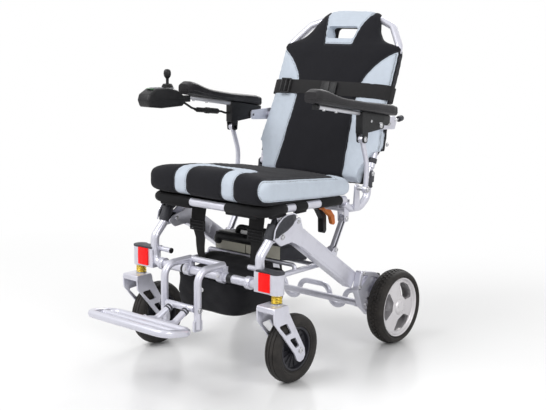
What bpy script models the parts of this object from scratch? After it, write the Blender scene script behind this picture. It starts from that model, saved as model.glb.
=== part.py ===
"""Folding power wheelchair with hub motors, modelled in metres with its front towards -Y.

The chair is laid out from the caster stems. A pair such as KNEE is a point of the side view, given as
(distance behind the stems, height above the floor). The left side is at +X, and the right side mirrors it.
"""

import math

import bmesh
import bpy
from mathutils import Matrix, Vector

for old in list(bpy.data.objects):
    bpy.data.objects.remove(old, do_unlink=True)

# Clearances and drawing steps
GAP = 0.0003
PIVOT_GAP = 0.0017
SOFT_GAP = 0.0006
BEND_STEP = math.radians(32)

# Rear frame
ARM_X = 0.190
ARM_WIDTH = 0.030
ARM_DEPTH = 0.048
ARM_BEVEL = 0.003
CHEEK_THICKNESS = 0.004
KNEE = (0.066, 0.374)
ARM_FRONT = (0.144, 0.364)
ARM_REAR = (0.396, 0.196)
LINK_FOOT = (0.308, 0.300)
LINK_HEAD = (0.355, 0.380)
LINK_THICKNESS = 0.012
LINK_WIDTH = 0.020
EAR_THICKNESS = 0.004
PIN_R = 0.005
KNEE_PIN_R = 0.006
BRACKET_THICKNESS = 0.020
CROSS_TUBE_R = 0.008
REAR_CROSS = (0.424, 0.124)
STAND = (0.482, 0.140)
STAND_FOOT_Z = 0.085
STAND_BOW_X = 0.085

# Wheels
AXLE = (0.516, 0.108)
REAR_TYRE_R = 0.108
REAR_TYRE_WIDTH = 0.058
REAR_RIM_R = 0.086
REAR_WHEEL_X = 0.262
AXLE_R = 0.009
FREEWHEEL = (0.512, 0.158)
CASTER_X = 0.246
CASTER_TRAIL = 0.062
CASTER_TYRE_R = 0.090
CASTER_TYRE_WIDTH = 0.046
CASTER_RIM_R = 0.058
CASTER_AXLE_R = 0.005
REAR_SIDES = 24
CASTER_SIDES = 20

# Front frame
LEG_R = 0.012
HOOP_Z = 0.258
HOOP_BEND = 0.024
LEG_TOP = (0.0505, 0.4010)
LEG_BEND = (0.034, 0.364)
LEG_FOOT = (0.000, 0.330)
SEAT_PIVOT = (0.066, 0.420)
STEM_R = 0.008
HOUSING_R = 0.0195
HOUSING_BOTTOM = 0.243
HOUSING_TOP = 0.301
HOUSING_INNER_X = 0.172
HOUSING_HALF_DEPTH = 0.0155
FORK_TOP = 0.219
FORK_INNER = 0.025
FORK_PLATE = 0.005
SPRING_WIRE_R = 0.0016
SPRING_MEAN_R = 0.0125
SPRING_TURNS = 3.5
COLLAR_THICKNESS = 0.002
HANGER_R = 0.010
HANGER_X = 0.060
HANGER_Y = -0.090
HANGER_TOP = 0.287
HANGER_REAR_Y = 0.008
HANGER_FOOT = 0.136
FOOT_HINGE = (-0.092, 0.187)
FOOT_PIN_R = 0.004
FOOTPLATE_R = 0.010
FOOTPLATE_X = 0.140
FOOTPLATE_FRONT = (-0.285, 0.184)
FOOTPLATE_REAR = (-0.195, 0.168)

# Tray, battery and bag
TRAY_X = 0.157
TRAY_R = 0.0075
TRAY_RAIL_Z = 0.254
TRAY_REAR_Y = 0.388
BATTERY_HALF_WIDTH = 0.121
BATTERY_FRONT_Y = 0.168
BATTERY_REAR_Y = 0.285
BATTERY_FRONT_BOTTOM = 0.280
BATTERY_FRONT_TOP = 0.330
BATTERY_REAR_BOTTOM = 0.2622
BATTERY_REAR_TOP = 0.318
BAG_LOW = 0.150
BAG_DEPTH = 0.215
BAG_HALF_WIDTH_LOW = 0.111
BAG_HALF_WIDTH_TOP = 0.120

# Seat
RAIL_X = 0.197
RAIL_R = 0.011
RAIL_FRONT = (0.012, 0.440)
RAIL_KNEE = (0.062, 0.4441)
RAIL_REAR = (0.350, 0.434)
J_TUBE = ((0.344, 0.424), (0.372, 0.406), (0.424, 0.404), (0.458, 0.428), (0.463, 0.482))
SEAT_CROSS = (0.352, 0.408)
SEAT_CROSS_R = 0.009
CUSHION_HALF_WIDTH = 0.215
CUSHION_FRONT_Y = -0.010
CUSHION_REAR_Y = 0.352
CUSHION_BOTTOM_FRONT = 0.4541
CUSHION_BOTTOM_REAR = 0.4421
CUSHION_TOP_FRONT = 0.529
CUSHION_TOP_REAR = 0.499
CUSHION_CROWN = 0.014
CUSHION_DRAW_IN = 0.005
CUSHION_CORNER = 0.032
LOCK_X = 0.100
RELEASE_X = 0.124

# Back
BACK_HINGE = (0.4676, 0.495)
RECLINE = math.radians(20.9)
TONGUE_THICKNESS = 0.012
BACK_START = 0.016
SHOULDER = (0.603, 0.849)
HANDLE = (0.657, 0.923)
HANDLE_HALF_WIDTH = 0.100
HANDLE_HOLE = ((-0.046, 0.899), (0.046, 0.899), (0.030, 0.865), (-0.030, 0.865))
HANDLE_HOLE_Y = 0.6273
BACK_FRONT_DEPTH = 0.033
BACK_REAR_DEPTH = 0.018

# Armrests
ARM_SUPPORT_FOOT = (0.392, 0.462)
ARMREST_PIVOT = (0.4446, 0.636)
ARM_SUPPORT_X = 0.237
ARM_SUPPORT_R = 0.008
BACK_PLATE_X = 0.219
BACK_PLATE_THICKNESS = 0.0045
PAD_WIDTH = 0.046
PAD_FRONT_X = 0.229
PAD_REAR_X = 0.248
PAD_REAR_Y = 0.492
CONTROLLER_X = 0.240
STICK_PIVOT = (0.101, 0.7295)
BELLOWS_R = 0.017
BELLOWS_SIDES = 16
POCKET_DEPTH = 0.0135
STICK_BALL_R = 0.0087
BUTTON_Y = 0.050
BUTTON_R = 0.006
BUTTON_TOP = 0.7335
BUTTON_BOTTOM = 0.7278
BUTTON_TRAVEL = 0.0020


# Shape tools: each gives a mesh in the chair's own frame


def at(x, spot):
    """A side-view point, at this distance from the middle of the chair."""
    return Vector((x, spot[0], spot[1]))


def bent(route, radius, largest_step=BEND_STEP, closed=False):
    """The route with an arc of this radius at each corner, drawn in equal steps."""
    route = [Vector(point) for point in route]
    corners = zip(route[-1:] + route[:-1], route, route[1:] + route[:1])
    points = []
    for index, (before, corner, after) in enumerate(corners):
        if not closed and index in (0, len(route) - 1):
            points.append(corner)
            continue
        back = before - corner
        ahead = after - corner
        half = back.angle(ahead) / 2
        reach = min(radius / math.tan(half), 0.49 * back.length, 0.49 * ahead.length)
        arc_radius = reach * math.tan(half)
        centre = corner + (back.normalized() + ahead.normalized()).normalized() * arc_radius / math.sin(half)
        spoke = corner + back.normalized() * reach - centre
        turn_axis = spoke.cross(corner + ahead.normalized() * reach - centre)
        steps = max(1, round((math.pi - 2 * half) / largest_step))
        for step in range(steps + 1):
            turn = Matrix.Rotation((math.pi - 2 * half) * step / steps, 3, turn_axis)
            points.append(centre + turn @ spoke)
    return points


def tidy(mesh):
    """Welds the mesh and turns its faces outwards."""
    work = bmesh.new()
    work.from_mesh(mesh)
    bmesh.ops.remove_doubles(work, verts=work.verts, dist=1e-6)
    bmesh.ops.recalc_face_normals(work, faces=work.faces)
    if work.calc_volume(signed=True) < 0:
        bmesh.ops.reverse_faces(work, faces=work.faces)
    work.to_mesh(mesh)
    work.free()
    return mesh


def tube(route, radius, bend=0.0, resolution=2, closed=False):
    """A round bar along the route."""
    points = bent(route, bend, closed=closed) if bend else [Vector(point) for point in route]
    curve = bpy.data.curves.new("tube", "CURVE")
    curve.dimensions = "3D"
    curve.bevel_depth = radius
    curve.bevel_resolution = resolution
    curve.use_fill_caps = not closed
    spline = curve.splines.new("POLY")
    spline.points.add(len(points) - 1)
    spline.use_cyclic_u = closed
    for spot, point in zip(spline.points, points):
        spot.co = (*point, 1)
    holder = bpy.data.objects.new("tube", curve)
    mesh = bpy.data.meshes.new_from_object(holder)
    bpy.data.objects.remove(holder)
    bpy.data.curves.remove(curve)
    return tidy(mesh)


def rod(start, end, radius, sides=8):
    """A straight round bar."""
    start, end = Vector(start), Vector(end)
    work = bmesh.new()
    bmesh.ops.create_cone(
        work,
        cap_ends=True,
        segments=sides,
        radius1=radius,
        radius2=radius,
        depth=(end - start).length,
    )
    mesh = bpy.data.meshes.new("rod")
    work.to_mesh(mesh)
    work.free()
    turn = (end - start).to_track_quat("Z", "Y").to_matrix().to_4x4()
    mesh.transform(Matrix.Translation((start + end) / 2) @ turn)
    return mesh


def bore_r(radius, sides=8):
    """The radius of a many-sided hole that a pin of this radius can turn in."""
    return (radius + GAP) / math.cos(math.pi / sides)


def cross_rod(spot, low_x, high_x, radius, sides=8):
    """A round bar that runs across the chair at a side-view point."""
    return rod(at(low_x, spot), at(high_x, spot), radius, sides)


def plate(outline, low_x, high_x, rounding=0.0, bevel=0.0):
    """A side-view outline, cut from sheet that lies between these distances from the middle."""
    corners = [at(low_x, spot) for spot in outline]
    if rounding:
        corners = bent(corners, rounding, math.pi, closed=True)
    work = bmesh.new()
    face = work.faces.new([work.verts.new(corner) for corner in corners])
    sweep = bmesh.ops.extrude_face_region(work, geom=[face])
    moved = [item for item in sweep["geom"] if isinstance(item, bmesh.types.BMVert)]
    bmesh.ops.translate(work, verts=moved, vec=(high_x - low_x, 0, 0))
    if bevel:
        rims = [edge for edge in work.edges if abs(edge.verts[0].co.x - edge.verts[1].co.x) < 1e-6]
        bmesh.ops.bevel(work, geom=rims, offset=bevel, segments=1, affect="EDGES")
    mesh = bpy.data.meshes.new("plate")
    work.to_mesh(mesh)
    work.free()
    return tidy(mesh)


def block(low, high, bevel=0.0):
    """A box between two corners."""
    outline = ((low[1], low[2]), (high[1], low[2]), (high[1], high[2]), (low[1], high[2]))
    return plate(outline, low[0], high[0], rounding=1.6 * bevel, bevel=bevel)


def turned(profile, centre, axis="X", sides=32):
    """A profile of (radius, distance along the axis), turned about an axis through the centre."""
    work = bmesh.new()
    points = [work.verts.new((radius, 0, along)) for radius, along in profile]
    edges = [work.edges.new(pair) for pair in zip(points, points[1:] + points[:1])]
    bmesh.ops.spin(
        work,
        geom=points + edges,
        cent=(0, 0, 0),
        axis=(0, 0, 1),
        angle=2 * math.pi,
        steps=sides,
        use_merge=True,
    )
    bmesh.ops.remove_doubles(work, verts=work.verts, dist=1e-6)
    bmesh.ops.delete(work, geom=[edge for edge in work.edges if not edge.link_faces], context="EDGES")
    mesh = bpy.data.meshes.new("turned")
    work.to_mesh(mesh)
    work.free()
    if axis == "X":
        mesh.transform(Matrix.Rotation(math.pi / 2, 4, "Y"))
    mesh.transform(Matrix.Translation(centre))
    return tidy(mesh)


def loft(sections):
    """A closed skin through sections that have the same number of points."""
    work = bmesh.new()
    rings = [[work.verts.new(point) for point in section] for section in sections]
    for near, far in zip(rings, rings[1:]):
        for index in range(len(near)):
            after = (index + 1) % len(near)
            work.faces.new((near[index], near[after], far[after], far[index]))
    work.faces.new(rings[0])
    work.faces.new(rings[-1])
    bmesh.ops.triangulate(work, faces=[face for face in work.faces if len(face.verts) > 4])
    mesh = bpy.data.meshes.new("loft")
    work.to_mesh(mesh)
    work.free()
    return tidy(mesh)


def combined(first, others, operation):
    """The first mesh after a Boolean with each of the others."""
    holder = bpy.data.objects.new("work", first)
    bpy.context.scene.collection.objects.link(holder)
    helpers = []
    for other in others:
        helper = bpy.data.objects.new("tool", other)
        bpy.context.scene.collection.objects.link(helper)
        helpers.append(helper)
        boolean = holder.modifiers.new("Boolean", "BOOLEAN")
        boolean.operation = operation
        boolean.solver = "EXACT"
        boolean.object = helper
    ready = holder.evaluated_get(bpy.context.evaluated_depsgraph_get())
    mesh = bpy.data.meshes.new_from_object(ready)
    for helper in [holder] + helpers:
        bpy.data.objects.remove(helper)
    return mesh


def fused(first, *others):
    return combined(first, others, "UNION")


def cut(first, *others):
    return combined(first, others, "DIFFERENCE")


def mirrored(mesh):
    twin = mesh.copy()
    twin.transform(Matrix.Scale(-1, 4, (1, 0, 0)))
    twin.flip_normals()
    return twin


def squared_round(half_width, low, high, count, squareness):
    """Points of a squared oval about x = 0, as (across, up), starting at its +X side."""
    points = []
    middle = (low + high) / 2
    for index in range(count):
        angle = 2 * math.pi * index / count
        across = math.copysign(abs(math.cos(angle)) ** (2 / squareness), math.cos(angle))
        up = math.copysign(abs(math.sin(angle)) ** (2 / squareness), math.sin(angle))
        points.append((half_width * across, middle + (high - low) / 2 * up))
    return points


# Finishes and bodies


def finish(name, colour, roughness, metallic=0.0):
    material = bpy.data.materials.new(name)
    material.use_nodes = True
    shader = material.node_tree.nodes["Principled BSDF"]
    shader.inputs["Base Color"].default_value = (*colour, 1)
    shader.inputs["Roughness"].default_value = roughness
    shader.inputs["Metallic"].default_value = metallic
    return material


SILVER = finish("silver_paint", (0.56, 0.57, 0.60), 0.35, 0.7)
CAST = finish("cast_aluminium", (0.50, 0.51, 0.53), 0.45, 0.8)
DARK = finish("dark_moulding", (0.05, 0.05, 0.055), 0.5)
BLACK_PLASTIC = finish("black_plastic", (0.02, 0.02, 0.022), 0.4)
RUBBER = finish("tyre_rubber", (0.03, 0.03, 0.03), 0.8)
GOLD = finish("gold_spring", (0.75, 0.55, 0.12), 0.35, 0.8)
RED = finish("red_reflector", (0.6, 0.04, 0.02), 0.25)
ORANGE = finish("orange_lever", (0.85, 0.25, 0.03), 0.4)
CREAM = finish("battery_cream", (0.72, 0.70, 0.60), 0.5)
BLACK_FABRIC = finish("black_fabric", (0.025, 0.025, 0.028), 0.9)
GREY_FABRIC = finish("grey_fabric", (0.45, 0.50, 0.55), 0.9)
WEBBING = finish("black_webbing", (0.02, 0.02, 0.02), 0.85)

BODIES = {}


def body(name, pivot, parent=None):
    """An empty on the joint's axis, which carries the pieces that move with it."""
    empty = bpy.data.objects.new(name, None)
    empty.empty_display_size = 0.03
    bpy.context.scene.collection.objects.link(empty)
    if parent:
        empty.parent, parent_pivot = BODIES[parent]
        empty.location = Vector(pivot) - parent_pivot
    BODIES[name] = (empty, Vector(pivot))


def piece(name, mesh, body_name, material, sharp=math.radians(50)):
    """One solid piece of the chair, carried by its body."""
    empty, pivot = BODIES[body_name]
    mesh.transform(Matrix.Translation(-pivot))
    mesh.name = name
    mesh.materials.clear()
    mesh.materials.append(material)
    mesh.shade_smooth()
    mesh.set_sharp_from_angle(angle=sharp)
    made = bpy.data.objects.new(name, mesh)
    bpy.context.scene.collection.objects.link(made)
    made.parent = empty
    return made


def pair(name, mesh, body_name, material):
    """The piece on the left side and its mirror image on the right."""
    right = mirrored(mesh)
    shared = body_name in BODIES
    piece(name + "_left", mesh, body_name if shared else body_name + "_left", material)
    piece(name + "_right", right, body_name if shared else body_name + "_right", material)


def pair_of_bodies(name, pivot, parent):
    for side, hand in (("left", 1), ("right", -1)):
        carrier = parent if parent in BODIES else parent + "_" + side
        body(name + "_" + side, (hand * pivot[0], pivot[1], pivot[2]), carrier)


# Rear frame


def rear_arm():
    """A box tube with cheek plates at the knee, the knee pin, and ears for the seat link."""
    inner = ARM_X - ARM_WIDTH / 2
    outer = ARM_X + ARM_WIDTH / 2
    along = (Vector(ARM_REAR) - Vector(ARM_FRONT)).normalized()
    square = Vector((-along.y, along.x)) * ARM_DEPTH / 2
    front, rear = Vector(ARM_FRONT), Vector(ARM_REAR)
    side_view = (front + square, front - square, rear - square, rear + square)
    bar = plate(side_view, inner, outer, 0.004, ARM_BEVEL)
    cheek = (
        (0.036, 0.368), (0.063, 0.351), (0.104, 0.355), (0.150, 0.334), (0.196, 0.303),
        (0.212, 0.340), (0.150, 0.386), (0.140, 0.416), (0.126, 0.414), (0.092, 0.391), (0.057, 0.385),
    )
    outer_cheek = plate(cheek, outer - 0.0005, outer + CHEEK_THICKNESS)
    inner_cheek = plate(cheek, inner - CHEEK_THICKNESS, inner + 0.0005)
    pin = cross_rod(KNEE, inner - CHEEK_THICKNESS - 0.003, outer + CHEEK_THICKNESS - 0.001, KNEE_PIN_R)
    foot, head = Vector(LINK_FOOT), Vector(LINK_FOOT) - square * 2.2
    half = Vector((along.x, along.y)) * 0.016
    ear = [head - half * 1.4, head + half * 1.4, foot + half * 0.7 - square * 0.1, foot + square * 0.45]
    ear.append(foot - half * 0.7 - square * 0.1)
    ears = [
        plate(ear, ARM_X + side * 0.010 - EAR_THICKNESS / 2, ARM_X + side * 0.010 + EAR_THICKNESS / 2)
        for side in (-1, 1)
    ]
    link_pin = cross_rod(LINK_FOOT, ARM_X - 0.015, ARM_X + 0.015, PIN_R)
    return fused(bar, outer_cheek, inner_cheek, pin, *ears, link_pin)


def knee_cover():
    """A ribbed moulding over the knee, clipped to the outer cheek's upper edge."""
    low = ARM_X + ARM_WIDTH / 2 + GAP
    face = low + CHEEK_THICKNESS
    shell = plate(
        ((0.032, 0.376), (0.037, 0.392), (0.048, 0.405), (0.062, 0.417), (0.080, 0.4245), (0.112, 0.4245),
         (0.122, 0.4165), (0.088, 0.3925), (0.0575, 0.3865), (0.044, 0.378)),
        low, face + 0.001,
    )
    lip = plate(
        ((0.034, 0.374), (0.045, 0.400), (0.080, 0.422), (0.112, 0.4225), (0.122, 0.4165), (0.108, 0.398),
         (0.084, 0.386), (0.058, 0.378), (0.046, 0.371)),
        face, face + 0.0022,
    )
    ribs = []
    for share in (0.14, 0.38, 0.62, 0.86):
        foot = Vector((0.044, 0.380)).lerp(Vector((0.104, 0.402)), share)
        tip = Vector((0.040, 0.394)).lerp(Vector((0.100, 0.4215)), share)
        side = Vector((0.0017, -0.0008))
        ribs.append(plate((foot - side, foot + side, tip + side, tip - side), face + 0.0015, face + 0.0036))
    return fused(shell, lip, *ribs)


def motor_bracket():
    """A cast side plate with pockets, bolted to the arm's rear end, which holds the hub motor's axle."""
    low = ARM_X + ARM_WIDTH / 2 + GAP
    high = low + BRACKET_THICKNESS
    axle = Vector(AXLE)
    nose = [axle + Vector((0.031 * math.cos(turn), 0.031 * math.sin(turn)))
            for turn in (0.5, 0.0, -0.5, -1.0, -1.6)]
    cross = Vector(REAR_CROSS)
    outline = [Vector(p) for p in ((0.385, 0.171), (0.402, 0.226), (0.473, 0.210), (0.516, 0.181))]
    outline += nose + [Vector((0.475, 0.075)), Vector((0.446, 0.088))]
    outline += [cross + Vector((-0.002, -0.015)), cross + Vector((-0.015, -0.003))]
    casting = plate(outline, low, high, 0.004, 0.0015)
    pockets = [
        plate(((0.400, 0.178), (0.410, 0.214), (0.440, 0.206)), high - 0.008, high + 0.01),
        plate(((0.416, 0.168), (0.455, 0.202), (0.490, 0.190), (0.470, 0.150)), high - 0.008, high + 0.01),
        plate(((0.428, 0.146), (0.466, 0.140), (0.480, 0.098), (0.452, 0.102)), high - 0.008, high + 0.01),
    ]
    bore = cross_rod(AXLE, low - 0.01, high + 0.01, AXLE_R + GAP)
    return cut(casting, bore, *pockets)


def hub_motor():
    """The fixed drum of the hub motor, with the axle that the wheel turns on and its inner nut."""
    inner = ARM_X + ARM_WIDTH / 2
    face = inner + BRACKET_THICKNESS + 2 * GAP
    core = AXLE_R * 0.5
    profile = ((core, 0), (0.070, 0), (0.078, 0.0015), (0.078, 0.0045), (0.070, 0.006), (core, 0.006))
    drum = turned(profile, at(face, AXLE), sides=16)
    axle = cross_rod(AXLE, inner - 0.008, REAR_WHEEL_X + 0.021, AXLE_R)
    nut = cross_rod(AXLE, inner - 0.009, inner, 0.015, 6)
    return fused(drum, axle, nut)


def rear_cross_tube():
    """The cross tube between the motor brackets and the bowed stand tube, joined by two gussets."""
    end = ARM_X + ARM_WIDTH / 2
    cross = cross_rod(REAR_CROSS, -end, end, CROSS_TUBE_R)
    low = (STAND[0], STAND_FOOT_Z)
    half = 0.022
    route = [at(-end, STAND)]
    for hand in (-1, 1):
        bow = [(STAND_BOW_X + half * 1.5, STAND), (STAND_BOW_X + half, low),
               (STAND_BOW_X - half, low), (STAND_BOW_X - half * 1.5, STAND)]
        for x, spot in bow if hand < 0 else reversed(bow):
            route.append(at(hand * x, spot))
    route.append(at(end, STAND))
    stand = tube(route, CROSS_TUBE_R, 0.016, resolution=1)
    gussets = []
    for hand in (-1, 1):
        side = hand * (end - 0.010)
        front, rear = Vector(REAR_CROSS), Vector(STAND)
        square = Vector((0, 0.006))
        strip = (front - square, rear - square, rear + square, front + square)
        gussets.append(plate(strip, side - 0.002, side + 0.002))
    return fused(cross, stand, *gussets)


def freewheel_lever():
    """A small lever on the bracket's inner face that frees the hub motor's brake."""
    face = ARM_X + ARM_WIDTH / 2
    hub = cross_rod(FREEWHEEL, face - 0.009, face, 0.008)
    pivot, tip = Vector(FREEWHEEL), Vector(FREEWHEEL) + Vector((0.010, 0.030))
    side = Vector((0.0055, -0.0017))
    arm = plate((pivot - side, pivot + side, tip + side, tip - side), face - 0.009, face - 0.004, 0.003)
    grip = rod(at(face - 0.0105, tip), at(face - 0.0005, tip), 0.007)
    return fused(hub, arm, grip)


# Wheels


def tyre(centre, outer, inner, width, sides):
    """A rounded tyre, hollow only where the rim goes."""
    half = width / 2
    profile = [(inner + GAP, -half * 0.72), (inner + GAP, half * 0.72)]
    section = outer - inner
    for angle in (25, 55, 90, 125, 155):
        turn = math.radians(angle)
        reach = inner + section * (0.30 + 0.70 * abs(math.sin(turn)) ** 0.8)
        profile.append((reach, half * math.copysign(abs(math.cos(turn)) ** 0.55, math.cos(turn))))
    return turned(profile, centre, sides=sides)


def rear_rim():
    """A three-spoke rim with a blind hub that closes over the axle's end."""
    half = REAR_TYRE_WIDTH / 2 * 0.72
    bore = AXLE_R + GAP
    start = -0.023
    profile = (
        (bore, start), (0.028, start), (0.064, 0.006), (REAR_RIM_R - 0.006, 0.006),
        (REAR_RIM_R - 0.006, -half), (REAR_RIM_R, -half), (REAR_RIM_R, half), (REAR_RIM_R - 0.006, half),
        (REAR_RIM_R - 0.009, 0.015), (0.028, 0.018), (0.022, 0.026), (0.0, 0.026),
        (0.0, 0.0215), (bore, 0.0215),
    )
    wheel = turned(profile, at(REAR_WHEEL_X, AXLE), sides=REAR_SIDES)
    openings = []
    for index in range(3):
        window = [(radius * math.cos(math.radians(turn)), radius * math.sin(math.radians(turn)))
                  for radius, turn in ((0.036, -28), (0.073, -38), (0.075, -20), (0.0755, 0), (0.075, 20), (0.073, 38),
                                       (0.036, 28))]
        cutter = plate(window, REAR_WHEEL_X - 0.03, REAR_WHEEL_X + 0.03)
        cutter.transform(Matrix.Rotation(math.radians(50 + 120 * index), 4, "X"))
        cutter.transform(Matrix.Translation(at(0, AXLE)))
        openings.append(cutter)
    return cut(wheel, *openings)


def caster_rim():
    """A dark rim with six spokes on the caster's axle."""
    half = CASTER_TYRE_WIDTH / 2 * 0.72
    bore = CASTER_AXLE_R + GAP
    hub = FORK_INNER - GAP
    profile = (
        (bore, -hub), (0.014, -hub), (CASTER_RIM_R - 0.010, -0.004), (CASTER_RIM_R - 0.006, -half),
        (CASTER_RIM_R, -half), (CASTER_RIM_R, half), (CASTER_RIM_R - 0.006, half),
        (CASTER_RIM_R - 0.010, 0.004), (0.014, hub), (bore, hub),
    )
    spot = (CASTER_TRAIL, CASTER_TYRE_R)
    wheel = turned(profile, at(CASTER_X, spot), sides=CASTER_SIDES)
    openings = []
    for index in range(5):
        shape = [(radius * math.cos(math.radians(turn)), radius * math.sin(math.radians(turn)))
                 for radius, turn in ((0.024, -20), (0.045, -25), (0.045, 25), (0.024, 20))]
        cutter = plate(shape, CASTER_X - 0.03, CASTER_X + 0.03)
        cutter.transform(Matrix.Rotation(2 * math.pi * index / 5, 4, "X"))
        cutter.transform(Matrix.Translation(at(0, spot)))
        openings.append(cutter)
    return cut(wheel, *openings)


# Front frame


def hoop(clearance=0.0):
    """The two legs and the lower cross tube, one bent tube, with a short stub on each leg."""
    half = [at(ARM_X, LEG_TOP), at(ARM_X, LEG_BEND), at(ARM_X, LEG_FOOT), at(ARM_X, (0, HOOP_Z))]
    route = half + [Vector((-p.x, p.y, p.z)) for p in reversed(half)]
    stubs = [rod((hand * ARM_X, 0.010, 0.297), (hand * 0.140, 0.014, 0.294), 0.007 + clearance)
             for hand in (-1, 1)]
    return fused(tube(route, LEG_R + clearance, HOOP_BEND), *stubs)


def knee_knuckle():
    """A cast sleeve on the leg with the knee's lug, and the tongue that carries the seat."""
    top, bend = Vector(LEG_TOP), Vector(LEG_BEND)
    along = (top - bend).normalized()
    sleeve = rod(at(ARM_X, bend + along * 0.004), at(ARM_X, top + along * 0.004), 0.0144, 12)
    lug_x = 0.010
    lug = cross_rod(KNEE, ARM_X - lug_x, ARM_X + lug_x, 0.015, 12)
    web = plate(
        (bend + along * 0.008, Vector(KNEE) + Vector((0.002, -0.014)), Vector(KNEE) + Vector((0.002, 0.014)),
         bend + along * 0.036),
        ARM_X - lug_x, ARM_X + lug_x,
    )
    eye = cross_rod(SEAT_PIVOT, ARM_X - 0.006, ARM_X + 0.006, 0.0095)
    pivot, side = Vector(SEAT_PIVOT), Vector((along.y, -along.x)) * 0.0085
    tongue = plate((top - side, top + side, pivot + side, pivot - side), ARM_X - 0.006, ARM_X + 0.006)
    leg = tube([at(ARM_X, LEG_FOOT), at(ARM_X, LEG_BEND), at(ARM_X, LEG_TOP)], LEG_R + GAP, HOOP_BEND)
    solid = fused(sleeve, lug, web, tongue, eye)
    knee_bore = cross_rod(KNEE, ARM_X - 0.03, ARM_X + 0.03, bore_r(KNEE_PIN_R))
    seat_bore = cross_rod(SEAT_PIVOT, ARM_X - 0.03, ARM_X + 0.03, bore_r(PIN_R))
    return cut(solid, leg, knee_bore, seat_bore)


def caster_housing():
    """The housing of the sprung stem: a round boss with a web clamped round the leg, and its cap."""
    boss = rod((CASTER_X, 0, HOUSING_BOTTOM), (CASTER_X, 0, HOUSING_TOP - 0.004), HOUSING_R, 14)
    web = block(
        (HOUSING_INNER_X, -HOUSING_HALF_DEPTH, HOUSING_BOTTOM + 0.001),
        (CASTER_X, HOUSING_HALF_DEPTH, HOUSING_TOP - 0.005),
    )
    cap = rod((CASTER_X, 0, HOUSING_TOP - 0.006), (CASTER_X, 0, HOUSING_TOP), HOUSING_R + 0.001, 14)
    cap_web = block(
        (HOUSING_INNER_X + 0.024, -HOUSING_HALF_DEPTH - 0.001, HOUSING_TOP - 0.006),
        (CASTER_X, HOUSING_HALF_DEPTH + 0.001, HOUSING_TOP - 0.0005),
    )
    bore = rod((CASTER_X, 0, HOUSING_BOTTOM - 0.01), (CASTER_X, 0, HOUSING_TOP - 0.006), STEM_R + GAP)
    solid = fused(boss, web, cap, cap_web)
    return cut(solid, bore, hoop(GAP))


def reflector():
    """A red reflector on the web's front face."""
    front = -HOUSING_HALF_DEPTH - GAP
    return block((HOUSING_INNER_X + 0.026, front - 0.002, 0.2455), (CASTER_X - 0.0185, front, 0.2935))


def footrest_hanger():
    """An inverted U of tube over the cross tube, with two clamps on it and the footplate's hinge pins."""
    half = [Vector((HANGER_X, HANGER_Y, HANGER_FOOT)), Vector((HANGER_X, HANGER_Y, HANGER_TOP)),
            Vector((HANGER_X, HANGER_REAR_Y, HANGER_TOP))]
    route = half + [Vector((-p.x, p.y, p.z)) for p in reversed(half)]
    frame = tube(route, HANGER_R, 0.034)
    extras = []
    for hand in (-1, 1):
        x = hand * HANGER_X
        clamp_x = x + 0.002
        extras.append(cross_rod((0, HOOP_Z), clamp_x - 0.011, clamp_x + 0.011, LEG_R + 0.005, 12))
        saddle_top = (HANGER_REAR_Y + 0.006, HANGER_TOP - 0.002)
        saddle = ((-0.012, HOOP_Z), (0.012, HOOP_Z), saddle_top, (-0.004, HANGER_TOP))
        extras.append(plate(saddle, clamp_x - 0.009, clamp_x + 0.009))
        lug_low = (x - 0.0035, HANGER_Y - 0.016, HANGER_FOOT - 0.006)
        extras.append(block(lug_low, (x + 0.0035, HANGER_Y + 0.014, HANGER_FOOT + 0.024)))
        pin_end = hand * 0.030
        extras.append(cross_rod(FOOT_HINGE, min(x, pin_end), max(x, pin_end), FOOT_PIN_R))
        head = hand * (HANGER_X + HANGER_R + 0.003)
        extras.append(cross_rod(FOOT_HINGE, min(x, head), max(x, head), 0.006, 6))
    return cut(fused(frame, *extras), hoop(GAP))


def footplate():
    """A tube loop with a middle bar and two struts to its hinge bar."""
    corners = [at(FOOTPLATE_X, FOOTPLATE_FRONT), at(FOOTPLATE_X, FOOTPLATE_REAR),
               at(-FOOTPLATE_X, FOOTPLATE_REAR), at(-FOOTPLATE_X, FOOTPLATE_FRONT)]
    loop = tube(corners, FOOTPLATE_R, 0.028, closed=True)
    middle = Vector(FOOTPLATE_FRONT).lerp(Vector(FOOTPLATE_REAR), 0.55)
    bar = cross_rod(middle, -FOOTPLATE_X, FOOTPLATE_X, 0.008)
    reach = HANGER_X - HANGER_R - GAP
    hinge = cross_rod(FOOT_HINGE, -reach, reach, 0.009)
    struts = []
    for hand in (-1, 1):
        bend = at(hand * 0.032, (-0.150, 0.158))
        strut = [at(hand * 0.028, FOOT_HINGE), bend, at(hand * 0.034, FOOTPLATE_REAR)]
        struts.append(tube(strut, 0.0085, 0.020, 1))
    bores = [rod((hand * 0.029, *FOOT_HINGE), (hand * 0.080, *FOOT_HINGE), bore_r(FOOT_PIN_R))
             for hand in (-1, 1)]
    return cut(fused(loop, bar, hinge, *struts), *bores)


# Casters


def suspension_stem():
    """The sprung stem: it slides in the housing, carries the spring on its collar and turns in the fork."""
    collar_low = FORK_TOP + GAP
    shaft = rod((CASTER_X, 0, FORK_TOP - 0.014), (CASTER_X, 0, HOUSING_BOTTOM + 0.038), STEM_R)
    collar = rod((CASTER_X, 0, collar_low), (CASTER_X, 0, collar_low + COLLAR_THICKNESS), 0.0155, 10)
    return fused(shaft, collar)


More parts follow.
